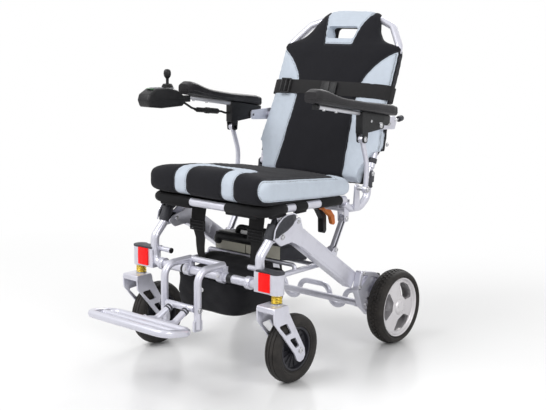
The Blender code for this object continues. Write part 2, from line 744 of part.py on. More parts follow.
def caster_spring():
    """The coil between the collar and the housing, one unbroken wire with flat-lying ends."""
    low = FORK_TOP + GAP + COLLAR_THICKNESS + GAP + SPRING_WIRE_R
    high = HOUSING_BOTTOM - GAP - SPRING_WIRE_R
    per_turn = 8
    count = round(SPRING_TURNS * per_turn)
    points = []
    for index in range(count + 1):
        turn = 2 * math.pi * index / per_turn
        height = low + (high - low) * index / count
        points.append((CASTER_X + SPRING_MEAN_R * math.cos(turn), SPRING_MEAN_R * math.sin(turn), height))
    least = min((Vector(a) - Vector(b)).length
                for i, a in enumerate(points) for b in points[i + per_turn // 2:])
    print(f"caster spring: least gap between its curls {1000 * (least - 2 * SPRING_WIRE_R):.2f} mm")
    lead = Vector((0, 2 * SPRING_WIRE_R, 0))
    points = [Vector(points[0]) - lead] + points + [Vector(points[-1]) + lead]
    return tube(points, SPRING_WIRE_R, resolution=1)


def caster_fork():
    """A cast fork: a crown on the stem, and two side plates with windows down to the axle."""
    outline = (
        (-0.045, FORK_TOP), (-0.043, 0.180), (0.039, 0.085), (0.050, 0.064), (0.062, 0.058), (0.075, 0.062),
        (0.082, 0.073), (0.080, 0.092), (0.015, 0.198), (0.012, FORK_TOP),
    )
    crown = block(
        (CASTER_X - FORK_INNER - FORK_PLATE, -0.042, FORK_TOP - 0.016),
        (CASTER_X + FORK_INNER + FORK_PLATE, 0.010, FORK_TOP),
    )
    windows = (
        ((-0.026, 0.171), (0.006, 0.173), (0.026, 0.143), (0.004, 0.141)),
        ((0.017, 0.128), (0.040, 0.129), (0.057, 0.103), (0.042, 0.100)),
    )
    spot = (CASTER_TRAIL, CASTER_TYRE_R)
    reach = FORK_INNER + FORK_PLATE
    parts = [crown]
    holes = [rod((CASTER_X, 0, FORK_TOP - 0.0143), (CASTER_X, 0, FORK_TOP + 0.01), bore_r(STEM_R))]
    for low in (CASTER_X - reach, CASTER_X + FORK_INNER):
        parts.append(plate(outline, low, low + FORK_PLATE))
        holes += [plate(window, low - 0.01, low + FORK_PLATE + 0.01) for window in windows]
    parts.append(cross_rod(spot, CASTER_X - reach - 0.004, CASTER_X + reach + 0.004, CASTER_AXLE_R))
    fork = cut(fused(*parts[:3]), *holes)
    heads = []
    for hand in (-1, 1):
        middle = CASTER_X + hand * (reach + 0.002)
        heads.append(cross_rod(spot, middle - 0.003, middle + 0.003, 0.009, 6))
    return fused(fork, parts[3], *heads)


# Tray, battery and bag


def tray_frame():
    """Two rails that hang on the cross tube by collars, joined at the rear and under the battery."""
    rail = (0, TRAY_RAIL_Z)
    rear = (TRAY_REAR_Y, TRAY_RAIL_Z)
    loop = tube([at(-TRAY_X, rail), at(-TRAY_X, rear), at(TRAY_X, rear), at(TRAY_X, rail)], TRAY_R, 0.030, 1)
    collars = [cross_rod((0, HOOP_Z), hand * TRAY_X - 0.008, hand * TRAY_X + 0.008, LEG_R + 0.005, 12)
               for hand in (-1, 1)]
    front_y = BATTERY_FRONT_Y + 0.015
    slope = (BATTERY_FRONT_BOTTOM - BATTERY_REAR_BOTTOM) / (BATTERY_REAR_Y - BATTERY_FRONT_Y)
    under = BATTERY_FRONT_BOTTOM - slope * (front_y - BATTERY_FRONT_Y)
    cradle_r = 0.006
    cradle_z = under - GAP - cradle_r * math.sqrt(1 + slope * slope)
    cradle = tube(
        [(-TRAY_X, front_y, TRAY_RAIL_Z), (-TRAY_X, front_y, cradle_z), (TRAY_X, front_y, cradle_z),
         (TRAY_X, front_y, TRAY_RAIL_Z)], cradle_r, 0.012, 1,
    )
    rest_y = BATTERY_REAR_Y - 0.012
    rest_z = BATTERY_REAR_BOTTOM + slope * 0.012 - GAP - cradle_r * math.sqrt(1 + slope * slope)
    rest = cross_rod((rest_y, rest_z), -TRAY_X, TRAY_X, cradle_r)
    bag_bar = cross_rod((0.100, TRAY_RAIL_Z), -TRAY_X, TRAY_X, cradle_r)
    bore = cross_rod((0, HOOP_Z), -ARM_X, ARM_X, bore_r(LEG_R, 16), 16)
    return cut(fused(loop, *collars, cradle, rest, bag_bar), bore)


def battery_pack():
    """A slab with a sloping top and a moulded carrying handle on its lid."""
    case = plate(
        ((BATTERY_FRONT_Y, BATTERY_FRONT_BOTTOM), (BATTERY_REAR_Y, BATTERY_REAR_BOTTOM),
         (BATTERY_REAR_Y, BATTERY_REAR_TOP), (BATTERY_FRONT_Y, BATTERY_FRONT_TOP)),
        -BATTERY_HALF_WIDTH, BATTERY_HALF_WIDTH, 0.005, 0.003,
    )
    low = BATTERY_FRONT_TOP - 0.010
    top = BATTERY_FRONT_TOP + 0.018
    y = BATTERY_FRONT_Y + 0.022
    handle = tube([(-0.056, y, low), (-0.050, y, top), (0.059, y, top), (0.065, y, low)], 0.0075, 0.014)
    groove = block(
        (-BATTERY_HALF_WIDTH + 0.012, BATTERY_FRONT_Y - 0.01, BATTERY_FRONT_BOTTOM + 0.010),
        (BATTERY_HALF_WIDTH - 0.012, BATTERY_FRONT_Y + 0.0015, BATTERY_FRONT_TOP - 0.012),
    )
    return cut(fused(case, handle), groove)


def storage_bag():
    """A soft bag that hangs under the tray."""
    top = TRAY_RAIL_Z - 0.006 - GAP
    sections = []
    for share, swell in ((0.0, 0.80), (0.04, 0.93), (0.16, 1.0), (0.55, 1.01), (0.9, 1.0), (1.0, 0.985)):
        height = BAG_LOW + (top - BAG_LOW) * share
        width = (BAG_HALF_WIDTH_LOW + (BAG_HALF_WIDTH_TOP - BAG_HALF_WIDTH_LOW) * share) * swell
        front = -0.002 + 0.004 * (1 - swell) * 10
        middle, reach = (front + BAG_DEPTH) / 2, (BAG_DEPTH - front) / 2 * (0.9 + 0.1 * swell)
        ring = squared_round(width, middle - reach, middle + reach, 16, 7)
        sections.append([(x, y, height) for x, y in ring])
    bag = loft(sections)
    notch = cross_rod((0, HOOP_Z), -0.2, 0.2, LEG_R + 0.006, 16)
    return cut(bag, notch)


# Seat


def seat_tube(clearance=0.0):
    """The two rails and the front tube between them, one bent tube."""
    half = [at(RAIL_X, RAIL_REAR), at(RAIL_X, RAIL_KNEE), at(RAIL_X, RAIL_FRONT)]
    route = half + [Vector((-p.x, p.y, p.z)) for p in reversed(half)]
    return tube(route, RAIL_R + clearance, 0.030)


def seat_frame():
    """The seat's tubes: rails with a front tube, J-shaped rear tubes, hinge ears and the armrest stubs."""
    parts = [seat_tube()]
    parts.append(cross_rod(SEAT_CROSS, -RAIL_X, RAIL_X, SEAT_CROSS_R, 12))
    for hand in (-1, 1):
        parts.append(tube([at(hand * RAIL_X, spot) for spot in J_TUBE], RAIL_R, 0.032))
        for spot, high in ((SEAT_PIVOT, RAIL_KNEE[1]), (LINK_HEAD, RAIL_REAR[1])):
            parts += clevis(hand, spot, high)
        stub_low, stub_high = sorted((hand * (RAIL_X + RAIL_R - 0.003), hand * (RAIL_X + RAIL_R + 0.003)))
        stub = ((0.378, 0.400), (0.406, 0.400), (0.401, 0.470), (0.392, 0.474), (0.383, 0.470))
        parts.append(plate(stub, stub_low, stub_high))
        pin_low, pin_high = sorted((hand * (RAIL_X + RAIL_R), hand * (ARM_SUPPORT_X + 0.011)))
        parts.append(cross_rod(ARM_SUPPORT_FOOT, pin_low, pin_high, KNEE_PIN_R))
        parts += back_socket(hand)
    return fused(*parts)


def clevis(hand, spot, high):
    """A forked bracket under the rail, with a pin across its two ears."""
    outer, inner = 0.010 + EAR_THICKNESS / 2, 0.010 - EAR_THICKNESS / 2
    shape = ((spot[0] - 0.009, spot[1] - 0.009), (spot[0] + 0.009, spot[1] - 0.009),
             (spot[0] + 0.013, high - 0.001), (spot[0] - 0.013, high - 0.001))
    fork = plate(shape, hand * ARM_X - outer, hand * ARM_X + outer)
    slot_low = (hand * ARM_X - inner, spot[0] - 0.05, spot[1] - 0.05)
    slot = block(slot_low, (hand * ARM_X + inner, spot[0] + 0.05, high - 0.008))
    pin_low, pin_high = sorted((hand * (ARM_X - 0.011), hand * (ARM_X + 0.011)))
    return [cut(fork, slot), cross_rod(spot, pin_low, pin_high, PIN_R)]


def back_socket(hand):
    """The sleeve on top of a J tube, with two ears and the pin that the back turns on."""
    top = J_TUBE[-1]
    low = Vector((hand * RAIL_X, top[0], 0.455))
    sleeve = rod(low, at(hand * RAIL_X, top), RAIL_R + 0.0024, 10)
    made = [sleeve]
    for ear in (-1, 1):
        inner = hand * (RAIL_X + ear * (TONGUE_THICKNESS / 2 + GAP))
        low_x, high_x = sorted((inner, hand * (RAIL_X + ear * 0.0125)))
        hinge_y, hinge_z = BACK_HINGE
        shape = ((top[0] - 0.006, 0.470), (top[0] + 0.011, 0.470), (hinge_y + 0.009, hinge_z + 0.003),
                 (hinge_y, hinge_z + 0.009), (hinge_y - 0.009, hinge_z + 0.003))
        made.append(plate(shape, low_x, high_x))
    low_x, high_x = sorted((hand * (RAIL_X - 0.0145), hand * (RAIL_X + 0.0145)))
    made.append(cross_rod(BACK_HINGE, low_x, high_x, PIN_R))
    return made


def seat_sling():
    """The cloth stretched between the rails, hidden under the cushion."""
    half = RAIL_X - RAIL_R - 0.0006
    front_y = RAIL_FRONT[0] + RAIL_R + SOFT_GAP
    top = [(front_y, 0.4442), (0.040, 0.4460), (0.332, 0.4365)]
    shape = top + [(y, z - 0.003) for y, z in reversed(top)]
    edge = ARM_X - 0.010 - EAR_THICKNESS / 2 - GAP
    notches = []
    for hand in (-1, 1):
        low_x, high_x = sorted((hand * edge, hand * (edge + 0.03)))
        notches.append(block((low_x, SEAT_PIVOT[0] - 0.016, 0.42), (high_x, SEAT_PIVOT[0] + 0.016, 0.46)))
    return cut(plate(shape, -half, half), *notches, seat_tube(SOFT_GAP))


def seat_cushion():
    """A boxed cushion with a rolled front, a crowned top and sides that draw in between its corners."""
    rows = 12
    count = 22
    sections = []
    for row in range(rows):
        share = 0.5 - 0.5 * math.cos(math.pi * row / (rows - 1))
        y = CUSHION_FRONT_Y + (CUSHION_REAR_Y - CUSHION_FRONT_Y) * share
        bottom = CUSHION_BOTTOM_FRONT + (CUSHION_BOTTOM_REAR - CUSHION_BOTTOM_FRONT) * share
        top = CUSHION_TOP_FRONT + (CUSHION_TOP_REAR - CUSHION_TOP_FRONT) * share
        front_roll = math.sqrt(max(0.0, 1 - (1 - min(1.0, (y - CUSHION_FRONT_Y) / 0.040)) ** 2))
        rear_roll = math.sqrt(max(0.0, 1 - (1 - min(1.0, (CUSHION_REAR_Y - y) / 0.018)) ** 2))
        roll = 0.30 + 0.70 * min(front_roll, rear_roll)
        middle = bottom + (top - bottom) * 0.45
        low = middle - (middle - bottom) * roll
        high = middle + (top - middle) * roll
        into_corner = max(0.0, 1 - (y - CUSHION_FRONT_Y) / CUSHION_CORNER)
        corner = CUSHION_CORNER * (1 - math.sqrt(1 - into_corner ** 2))
        width = CUSHION_HALF_WIDTH - CUSHION_DRAW_IN * math.sin(math.pi * share) - corner
        ring = []
        for across, up in squared_round(width, low, high, count, 7):
            crown = CUSHION_CROWN * roll * max(0.0, 1 - (across / width) ** 2) if up > (low + high) / 2 else 0
            ring.append((across, y, up + crown * math.sin(math.pi * min(1.0, 0.25 + 0.75 * share))))
        sections.append(ring)
    return loft(sections)


def seat_link():
    """A flat link from the rear arm to the seat rail, with play at its upper pivot."""
    low_x, high_x = ARM_X - LINK_THICKNESS / 2, ARM_X + LINK_THICKNESS / 2
    foot, head = Vector(LINK_FOOT), Vector(LINK_HEAD)
    along = (head - foot).normalized()
    side = Vector((along.y, -along.x)) * LINK_WIDTH / 2
    bar = plate((foot - side * 0.8, foot + side * 0.8, head + side * 0.8, head - side * 0.8), low_x, high_x)
    ends = [cross_rod(spot, low_x, high_x, LINK_WIDTH / 2) for spot in (LINK_FOOT, LINK_HEAD)]
    holes = (cross_rod(LINK_FOOT, low_x - 0.01, high_x + 0.01, bore_r(PIN_R)),
             cross_rod(LINK_HEAD, low_x - 0.01, high_x + 0.01, PIN_R + PIVOT_GAP))
    return cut(fused(bar, *ends), *holes)


def fold_lock_handle():
    """A moulded pull handle that hangs from the seat's cross tube."""
    collar = cross_rod(SEAT_CROSS, LOCK_X - 0.011, LOCK_X + 0.011, 0.0145)
    shape = ((0.342, 0.412), (0.366, 0.410), (0.386, 0.372), (0.388, 0.330), (0.382, 0.322), (0.372, 0.324),
             (0.370, 0.366), (0.348, 0.396))
    grip = plate(shape, LOCK_X - 0.010, LOCK_X + 0.010, 0.004)
    bore = cross_rod(SEAT_CROSS, LOCK_X - 0.03, LOCK_X + 0.03, bore_r(SEAT_CROSS_R, 12), 12)
    return cut(fused(collar, grip), bore)


def fold_release_lever():
    """A small bright lever beside the handle that lets the lock go."""
    collar = cross_rod(SEAT_CROSS, RELEASE_X - 0.009, RELEASE_X + 0.009, 0.0135)
    shape = ((0.350, 0.418), (0.366, 0.408), (0.404, 0.366), (0.410, 0.352), (0.402, 0.346), (0.392, 0.354),
             (0.346, 0.398))
    tongue = plate(shape, RELEASE_X - 0.007, RELEASE_X + 0.007, 0.003)
    bore = cross_rod(SEAT_CROSS, RELEASE_X - 0.03, RELEASE_X + 0.03, bore_r(SEAT_CROSS_R, 12), 12)
    return cut(fused(collar, tongue), bore)


# Back

UP = Vector((math.sin(RECLINE), math.cos(RECLINE)))
FORWARD = Vector((-UP.y, UP.x))


def back_route():
    """The left half of the back tube's route, from its tongue to the middle of the handle."""
    start = Vector(BACK_HINGE) + UP * BACK_START
    return [at(RAIL_X, start), at(RAIL_X, SHOULDER), (0.150, 0.640, 0.905), at(HANDLE_HALF_WIDTH, HANDLE)]


def back_tube(clearance=0.0):
    half = back_route()
    route = half + [Vector((-p[0], p[1], p[2])) for p in reversed(half)]
    return tube(route, RAIL_R + clearance, 0.030)


def plate_arm(hand, clearance=0.0):
    """The plate beside the back that carries the armrest, on a stand-off from the tube."""
    low_x, high_x = sorted((hand * (BACK_PLATE_X - clearance), hand * (BACK_PLATE_X + BACK_PLATE_THICKNESS)))
    tube_y = BACK_HINGE[0] + (0.632 - BACK_HINGE[1]) * math.tan(RECLINE)
    front = Vector(ARMREST_PIVOT)
    shape = (
        front + Vector((-0.010, -0.008)), front + Vector((-0.004, -0.014)), (0.552, 0.616), (0.560, 0.636),
        (0.552, 0.654), front + Vector((-0.004, 0.014)), front + Vector((-0.010, 0.008)),
    )
    stand_low, stand_high = sorted((hand * RAIL_X, hand * (BACK_PLATE_X + 0.001)))
    return (
        plate(shape, low_x, high_x),
        cross_rod((tube_y, 0.634), stand_low, stand_high, 0.009 + clearance),
    )


def back_frame():
    """The back's bent tube with a tongue at each foot, and the armrest plates with their pins and knobs."""
    parts = [back_tube()]
    for hand in (-1, 1):
        low_x = hand * RAIL_X - TONGUE_THICKNESS / 2
        high_x = low_x + TONGUE_THICKNESS
        hinge, top = Vector(BACK_HINGE), Vector(BACK_HINGE) + UP * (BACK_START + 0.010)
        side = FORWARD * 0.0075
        parts.append(plate((hinge - side, hinge + side, top + side, top - side), low_x, high_x))
        parts.append(cross_rod(BACK_HINGE, low_x, high_x, 0.009))
        parts += plate_arm(hand)
        pin_low, pin_high = sorted((hand * BACK_PLATE_X, hand * (ARM_SUPPORT_X + 0.014)))
        parts.append(cross_rod(ARMREST_PIVOT, pin_low, pin_high, PIN_R))
        x = hand * (BACK_PLATE_X + BACK_PLATE_THICKNESS / 2)
        parts.append(rod((x, 0.550, 0.640), (x, 0.582, 0.645), 0.0035, 6))
        parts.append(rod((x, 0.572, 0.6434), (x, 0.590, 0.6462), 0.009, 10))
    bores = []
    for hand in (-1, 1):
        low_x, high_x = sorted((hand * (RAIL_X - 0.02), hand * (RAIL_X + 0.02)))
        bores.append(cross_rod(BACK_HINGE, low_x, high_x, bore_r(PIN_R)))
    return cut(fused(*parts), *bores)


SPINE = (
    ((0.4635, 0.462), 0.228, 0.42), ((0.4675, 0.473), 0.2285, 1.0), ((0.490, 0.530), 0.228, 1.0),
    ((0.507, 0.575), 0.222, 1.0), ((0.526, 0.625), 0.215, 1.0), ((0.549, 0.687), 0.2115, 1.0),
    ((0.590, 0.795), 0.2115, 1.0), ((0.602, 0.830), 0.2115, 1.0),
    ((0.607, 0.845), 0.205, 0.95), ((0.6105, 0.853), 0.164, 0.92), ((0.615, 0.864), 0.138, 0.9),
    ((0.628, 0.889), 0.117, 0.9), ((0.648, 0.914), 0.104, 0.9), ((0.665, 0.928), 0.096, 0.8),
    ((0.674, 0.935), 0.090, 0.40),
)


def back_shell(grow=0.0, first=0, last=None):
    """The padded back's skin through cross-sections along its spine, thicker in front than behind."""
    sections = []
    spine = SPINE[first:last]
    for index, (spot, half_width, fullness) in enumerate(spine):
        before = Vector(spine[max(0, index - 1)][0])
        after = Vector(spine[min(len(spine) - 1, index + 1)][0])
        along = (after - before).normalized()
        ahead = Vector((-along.y, along.x))
        front = BACK_FRONT_DEPTH * fullness + grow
        rear = BACK_REAR_DEPTH * fullness + grow
        ring = []
        for across, out in squared_round(half_width + grow, -rear, front, 18, 4.5):
            belly = 0.006 * fullness * (1 - (across / (half_width + grow)) ** 2) if out > 0 else 0
            place = Vector(spot) + ahead * (out + belly)
            ring.append(at(across, place))
        sections.append(ring)
    return loft(sections)


def back_cushion():
    """The padded cover: it wraps the tubes, opens round the handle and clears the hinges."""
    shell = back_shell()
    cutters = [back_tube(SOFT_GAP)]
    for hand in (-1, 1):
        cutters.append(plate_arm(hand, SOFT_GAP)[1])
        notch = [(hand * x, z) for x, z in ((0.27, 0.557), (0.204, 0.557), (0.176, 0.508), (0.172, 0.44), (0.27, 0.44))]
        cutters.append(loft([[(x, y, z) for x, z in notch] for y in (0.36, 0.60)]))
    corners = bent([Vector((x, z, 0)) for x, z in HANDLE_HOLE], 0.008, closed=True)
    cutters.append(loft([[(p.x, y, p.y - (y - HANDLE_HOLE_Y) * math.tan(RECLINE)) for p in corners]
                         for y in (0.55, 0.72)]))
    return cut(shell, *cutters)


def chest_belt():
    """A webbing belt round the back, with its buckle in front."""
    outer = back_shell(0.0032, 4, 8)
    inner = back_shell(0.0006, 3, 9)
    low, high = Vector((0, 0.546, 0.690)), 0.044
    slab = block((-0.3, -0.2, 0), (0.3, 0.2, high))
    slab.transform(Matrix.Translation(low) @ Matrix.Rotation(-RECLINE, 4, "X"))
    band = cut(combined(outer, [slab], "INTERSECT"), inner)
    front = Vector((low.y, low.z)) + FORWARD * (BACK_FRONT_DEPTH + 0.0065) + UP * high / 2
    buckle = block((-0.026, -0.005, -0.017), (0.026, 0.004, 0.017), 0.003)
    adjuster = block((-0.018, -0.004, -0.020), (0.018, 0.004, 0.020))
    turn = Matrix.Rotation(-RECLINE, 4, "X")
    buckle.transform(Matrix.Translation((0.012, *front)) @ turn)
    side = front - FORWARD * 0.0030
    adjuster.transform(Matrix.Translation((-0.150, *side)) @ turn)
    return cut(fused(band, buckle, adjuster), inner)


# Armrests and controller


def pad_height(y):
    """Top and bottom of the arm pad at this distance behind the stems."""
    bottom = 0.713 - (y - 0.135) * 0.148
    hump = 0.0135 * math.exp(-((y - 0.178) / 0.052) ** 2)
    swell = 0.005 * min(1.0, max(0.0, (y - 0.36) / 0.12))
    top = bottom + 0.0255 + hump + swell
    return bottom, top


def armrest_pad(front_y):
    """A moulded pad with a raised front, drawn in at both ends."""
    rows = 10
    sections = []
    for row in range(rows):
        share = 0.5 - 0.5 * math.cos(math.pi * row / (rows - 1))
        y = front_y + (PAD_REAR_Y - front_y) * share
        low, high = pad_height(y)
        end = min(1.0, 0.62 + 8 * share, 0.62 + 8 * (1 - share))
        middle_x = PAD_FRONT_X + (PAD_REAR_X - PAD_FRONT_X) * min(1.0, share / 0.75)
        high = low + (high - low) * (0.5 + 0.5 * end)
        ring = squared_round(PAD_WIDTH / 2 * (0.72 + 0.28 * end), low, high, 12, 4)
        sections.append([(middle_x + x, y, z) for x, z in ring])
    return loft(sections)


def support_top():
    """The upper pivot of the armrest's support tube, which keeps the linkage a parallelogram."""
    return Vector(ARM_SUPPORT_FOOT) + Vector(ARMREST_PIVOT) - Vector(BACK_HINGE)


def armrest_bracket():
    """The bracket under the pad's rear with the rail that carries the pad, and ears for the support tube."""
    low_x = BACK_PLATE_X + BACK_PLATE_THICKNESS + 0.002
    high_x = ARM_SUPPORT_X + 0.0115
    rear = ARMREST_PIVOT[0] + 0.016
    top = support_top()
    body_shape = (
        (top.x - 0.016, top.y + 0.0145), (rear - 0.004, ARMREST_PIVOT[1] - 0.010), (rear, ARMREST_PIVOT[1]),
        (rear, pad_height(rear)[0] - GAP), (top.x - 0.016, pad_height(top.x - 0.016)[0] - GAP),
    )
    parts = [plate(body_shape, low_x, high_x)]
    ear = ((top.x - 0.010, top.y - 0.008), (top.x, top.y - 0.011), (top.x + 0.010, top.y - 0.008),
           (top.x + 0.013, top.y + 0.018), (top.x - 0.013, top.y + 0.018))
    parts.append(plate(ear, low_x, low_x + 0.003))
    parts.append(plate(ear, high_x - 0.003, high_x))
    rail_r = 0.006
    front, back = 0.176, 0.403
    rail_front = (0.231, front, pad_height(front)[0] - rail_r - GAP)
    rail_back = (0.236, back, pad_height(back)[0] - rail_r - GAP)
    parts.append(rod(rail_front, rail_back, rail_r, 10))
    parts.append(cross_rod(top, low_x, high_x + 0.002, PIN_R))
    bore = cross_rod(ARMREST_PIVOT, low_x - 0.01, high_x + 0.01, bore_r(PIN_R))
    return cut(fused(*parts), bore)


def armrest_support():
    """The curved tube under the armrest, with an eye at each end."""
    top = support_top()
    foot = Vector(ARM_SUPPORT_FOOT)
    low_x, high_x = ARM_SUPPORT_X - 0.007, ARM_SUPPORT_X + 0.007
    route = [at(ARM_SUPPORT_X, foot), at(ARM_SUPPORT_X, (0.397, 0.528)), at(ARM_SUPPORT_X, top)]
    parts = [tube(route, ARM_SUPPORT_R * 0.86, 0.10)]
    parts += [cross_rod(spot, low_x, high_x, 0.0105) for spot in (foot, top)]
    holes = (cross_rod(foot, low_x - 0.01, high_x + 0.01, bore_r(KNEE_PIN_R)),
             cross_rod(top, low_x - 0.01, high_x + 0.01, bore_r(PIN_R)))
    return cut(fused(*parts), *holes)


def controller_case():
    """The drive controller's case on its mount, which slides on to the right rail's front end."""
    outline = (
        (0.006, 0.700), (0.014, 0.681), (0.060, 0.676), (0.140, 0.678), (0.149, 0.686), (0.148, 0.706),
        (0.120, 0.724), (0.086, 0.732), (0.040, 0.731), (0.012, 0.716),
    )
    case = plate(outline, -CONTROLLER_X - 0.022, -CONTROLLER_X + 0.022, 0.006, 0.004)
    mount = block((-0.240, 0.140, 0.6885), (-0.222, 0.1748, 0.7065), 0.002)
    middle = at(-CONTROLLER_X, STICK_PIVOT)
    pocket_r = (BELLOWS_R + GAP) / math.cos(math.pi / BELLOWS_SIDES)
    pocket_floor = middle - Vector((0, 0, POCKET_DEPTH))
    pocket = rod(pocket_floor, middle + Vector((0, 0, 0.02)), pocket_r, BELLOWS_SIDES)
    well_floor = BUTTON_BOTTOM - BUTTON_TRAVEL - GAP
    well = rod((-CONTROLLER_X, BUTTON_Y, well_floor), (-CONTROLLER_X, BUTTON_Y, 0.74), BUTTON_R + GAP)
    return cut(fused(case, mount), pocket, well)


def joystick_boot():
    """The bellows, a ring cut from a ball that tilts with the stick."""
    bore = STICK_BALL_R + GAP
    profile = [(bore, -0.0085)]
    for height in (-0.0085, 0.000, 0.007, 0.012):
        profile.append((math.sqrt(BELLOWS_R ** 2 - height ** 2), height))
    profile.append((bore, 0.012))
    return turned(profile, at(-CONTROLLER_X, STICK_PIVOT), axis="Z", sides=BELLOWS_SIDES)


def joystick():
    """The stick: a ball in the bellows, a thin neck and a rounded knob."""
    profile = [(0.0, -STICK_BALL_R * 0.9), (STICK_BALL_R * 0.45, -STICK_BALL_R * 0.86)]
    for turn in (-30, 0, 30):
        angle = math.radians(turn)
        profile.append((STICK_BALL_R * math.cos(angle), STICK_BALL_R * math.sin(angle)))
    profile += [(0.0042, 0.009), (0.0042, 0.026), (0.008, 0.030), (0.0105, 0.038)]
    profile += [(0.0090, 0.049), (0.0, 0.0525)]
    return turned(profile, at(-CONTROLLER_X, STICK_PIVOT), axis="Z", sides=12)


def power_button():
    """A push button in a well of the controller's lid."""
    return rod((-CONTROLLER_X, BUTTON_Y, BUTTON_BOTTOM), (-CONTROLLER_X, BUTTON_Y, BUTTON_TOP), BUTTON_R)


def controller_cable():
    """The lead from the controller to the bracket, with its in-line connector."""
    x = -0.247
    lead_r = 0.0032
    out_of_case = [(x, 0.1495, 0.690), (x, 0.175, 0.684), (x, 0.205, 0.668), (x, 0.232, 0.661)]
    front = tube(out_of_case, lead_r, 0.02, 1)
    plug = rod((x, 0.226, 0.662), (x, 0.272, 0.657), 0.0075)
    socket = rod((x, 0.268, 0.6575), (x, 0.314, 0.6525), 0.0085)
    end_x = x + 0.006
    to_bracket = [(x, 0.305, 0.6535), (x, 0.330, 0.651), (end_x, 0.342, 0.646), (end_x, 0.3527, 0.646)]
    rear = tube(to_bracket, lead_r, 0.012, 1)
    return fused(front, plug, socket, rear)


# Assembly

FOOTPLATE_EDGE = FOOTPLATE_FRONT[0] - FOOTPLATE_R
REAR_EDGE = 0.6784
ORIGIN_Y = (FOOTPLATE_EDGE + REAR_EDGE) / 2

body("wheelchair", (0, 0, 0))
BODIES["wheelchair"][0].location.y = -ORIGIN_Y
body("rear_frame", (0, 0, 0), "wheelchair")
pair_of_bodies("rear_wheel", at(REAR_WHEEL_X, AXLE), "rear_frame")
pair_of_bodies("freewheel", at(ARM_X, FREEWHEEL), "rear_frame")
body("front_frame", at(0, KNEE), "rear_frame")
pair_of_bodies("suspension", (CASTER_X, 0, HOUSING_BOTTOM), "front_frame")
pair_of_bodies("caster", (CASTER_X, 0, FORK_TOP), "suspension")
pair_of_bodies("caster_wheel", (CASTER_X, CASTER_TRAIL, CASTER_TYRE_R), "caster")
body("footrest", at(0, FOOT_HINGE), "front_frame")
body("tray", (0, 0, HOOP_Z), "front_frame")
body("seat", at(0, SEAT_PIVOT), "front_frame")
body("seat_links", at(0, LINK_FOOT), "rear_frame")
body("fold_lock", at(LOCK_X, SEAT_CROSS), "seat")
body("fold_release", at(RELEASE_X, SEAT_CROSS), "seat")
body("back", at(0, BACK_HINGE), "seat")
pair_of_bodies("arm_support", at(ARM_SUPPORT_X, ARM_SUPPORT_FOOT), "seat")
pair_of_bodies("armrest", at(ARM_SUPPORT_X, ARMREST_PIVOT), "back")
body("stick_gimbal", at(-CONTROLLER_X, STICK_PIVOT), "armrest_right")
body("stick", at(-CONTROLLER_X, STICK_PIVOT), "stick_gimbal")
body("power_key", (-CONTROLLER_X, BUTTON_Y, BUTTON_TOP), "armrest_right")

pair("rear_arm", rear_arm(), "rear_frame", SILVER)
pair("knee_cover", knee_cover(), "rear_frame", DARK)
pair("motor_bracket", motor_bracket(), "rear_frame", CAST)
pair("hub_motor", hub_motor(), "rear_frame", CAST)
piece("rear_cross_tube", rear_cross_tube(), "rear_frame", SILVER)
pair("freewheel_lever", freewheel_lever(), "freewheel", BLACK_PLASTIC)
REAR_TYRE = tyre(at(REAR_WHEEL_X, AXLE), REAR_TYRE_R, REAR_RIM_R, REAR_TYRE_WIDTH, REAR_SIDES)
pair("rear_tyre", REAR_TYRE, "rear_wheel", RUBBER)
pair("rear_rim", rear_rim(), "rear_wheel", CAST)
piece("front_hoop", hoop(), "front_frame", SILVER)
pair("knee_knuckle", knee_knuckle(), "front_frame", DARK)
pair("caster_housing", caster_housing(), "front_frame", CAST)
pair("reflector", reflector(), "front_frame", RED)
piece("footrest_hanger", footrest_hanger(), "front_frame", SILVER)
piece("footplate", footplate(), "footrest", SILVER)
pair("suspension_stem", suspension_stem(), "suspension", CAST)
pair("caster_spring", caster_spring(), "suspension", GOLD)
pair("caster_fork", caster_fork(), "caster", CAST)
CASTER_SPOT = at(CASTER_X, (CASTER_TRAIL, CASTER_TYRE_R))
CASTER_TYRE = tyre(CASTER_SPOT, CASTER_TYRE_R, CASTER_RIM_R, CASTER_TYRE_WIDTH, CASTER_SIDES)
pair("caster_tyre", CASTER_TYRE, "caster_wheel", RUBBER)
pair("caster_rim", caster_rim(), "caster_wheel", DARK)
piece("tray_frame", tray_frame(), "tray", SILVER)
piece("battery_pack", battery_pack(), "tray", CREAM)
piece("storage_bag", storage_bag(), "tray", BLACK_FABRIC)
piece("seat_frame", seat_frame(), "seat", SILVER)
piece("seat_sling", seat_sling(), "seat", BLACK_FABRIC)
piece("seat_cushion", seat_cushion(), "seat", BLACK_FABRIC)
pair("seat_link", seat_link(), "seat_links", DARK)
piece("fold_lock_handle", fold_lock_handle(), "fold_lock", BLACK_PLASTIC)
piece("fold_release_lever", fold_release_lever(), "fold_release", ORANGE)
piece("back_frame", back_frame(), "back", SILVER)
piece("back_cushion", back_cushion(), "back", GREY_FABRIC)
piece("chest_belt", chest_belt(), "back", WEBBING)
pair("armrest_bracket", armrest_bracket(), "armrest", BLACK_PLASTIC)
pair("armrest_support", armrest_support(), "arm_support", SILVER)
piece("armrest_pad_left", armrest_pad(0.147), "armrest_left", BLACK_PLASTIC)
piece("armrest_pad_right", mirrored(armrest_pad(0.153)), "armrest_right", BLACK_PLASTIC)
piece("controller_case", controller_case(), "armrest_right", BLACK_PLASTIC)
piece("joystick_boot", joystick_boot(), "stick_gimbal", RUBBER)
piece("joystick", joystick(), "stick", BLACK_PLASTIC)
piece("power_button", power_button(), "power_key", DARK)
piece("controller_cable", controller_cable(), "armrest_right", RUBBER)
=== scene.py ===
import math

import bmesh
import bpy
import numpy as np
from mathutils import Matrix, Vector


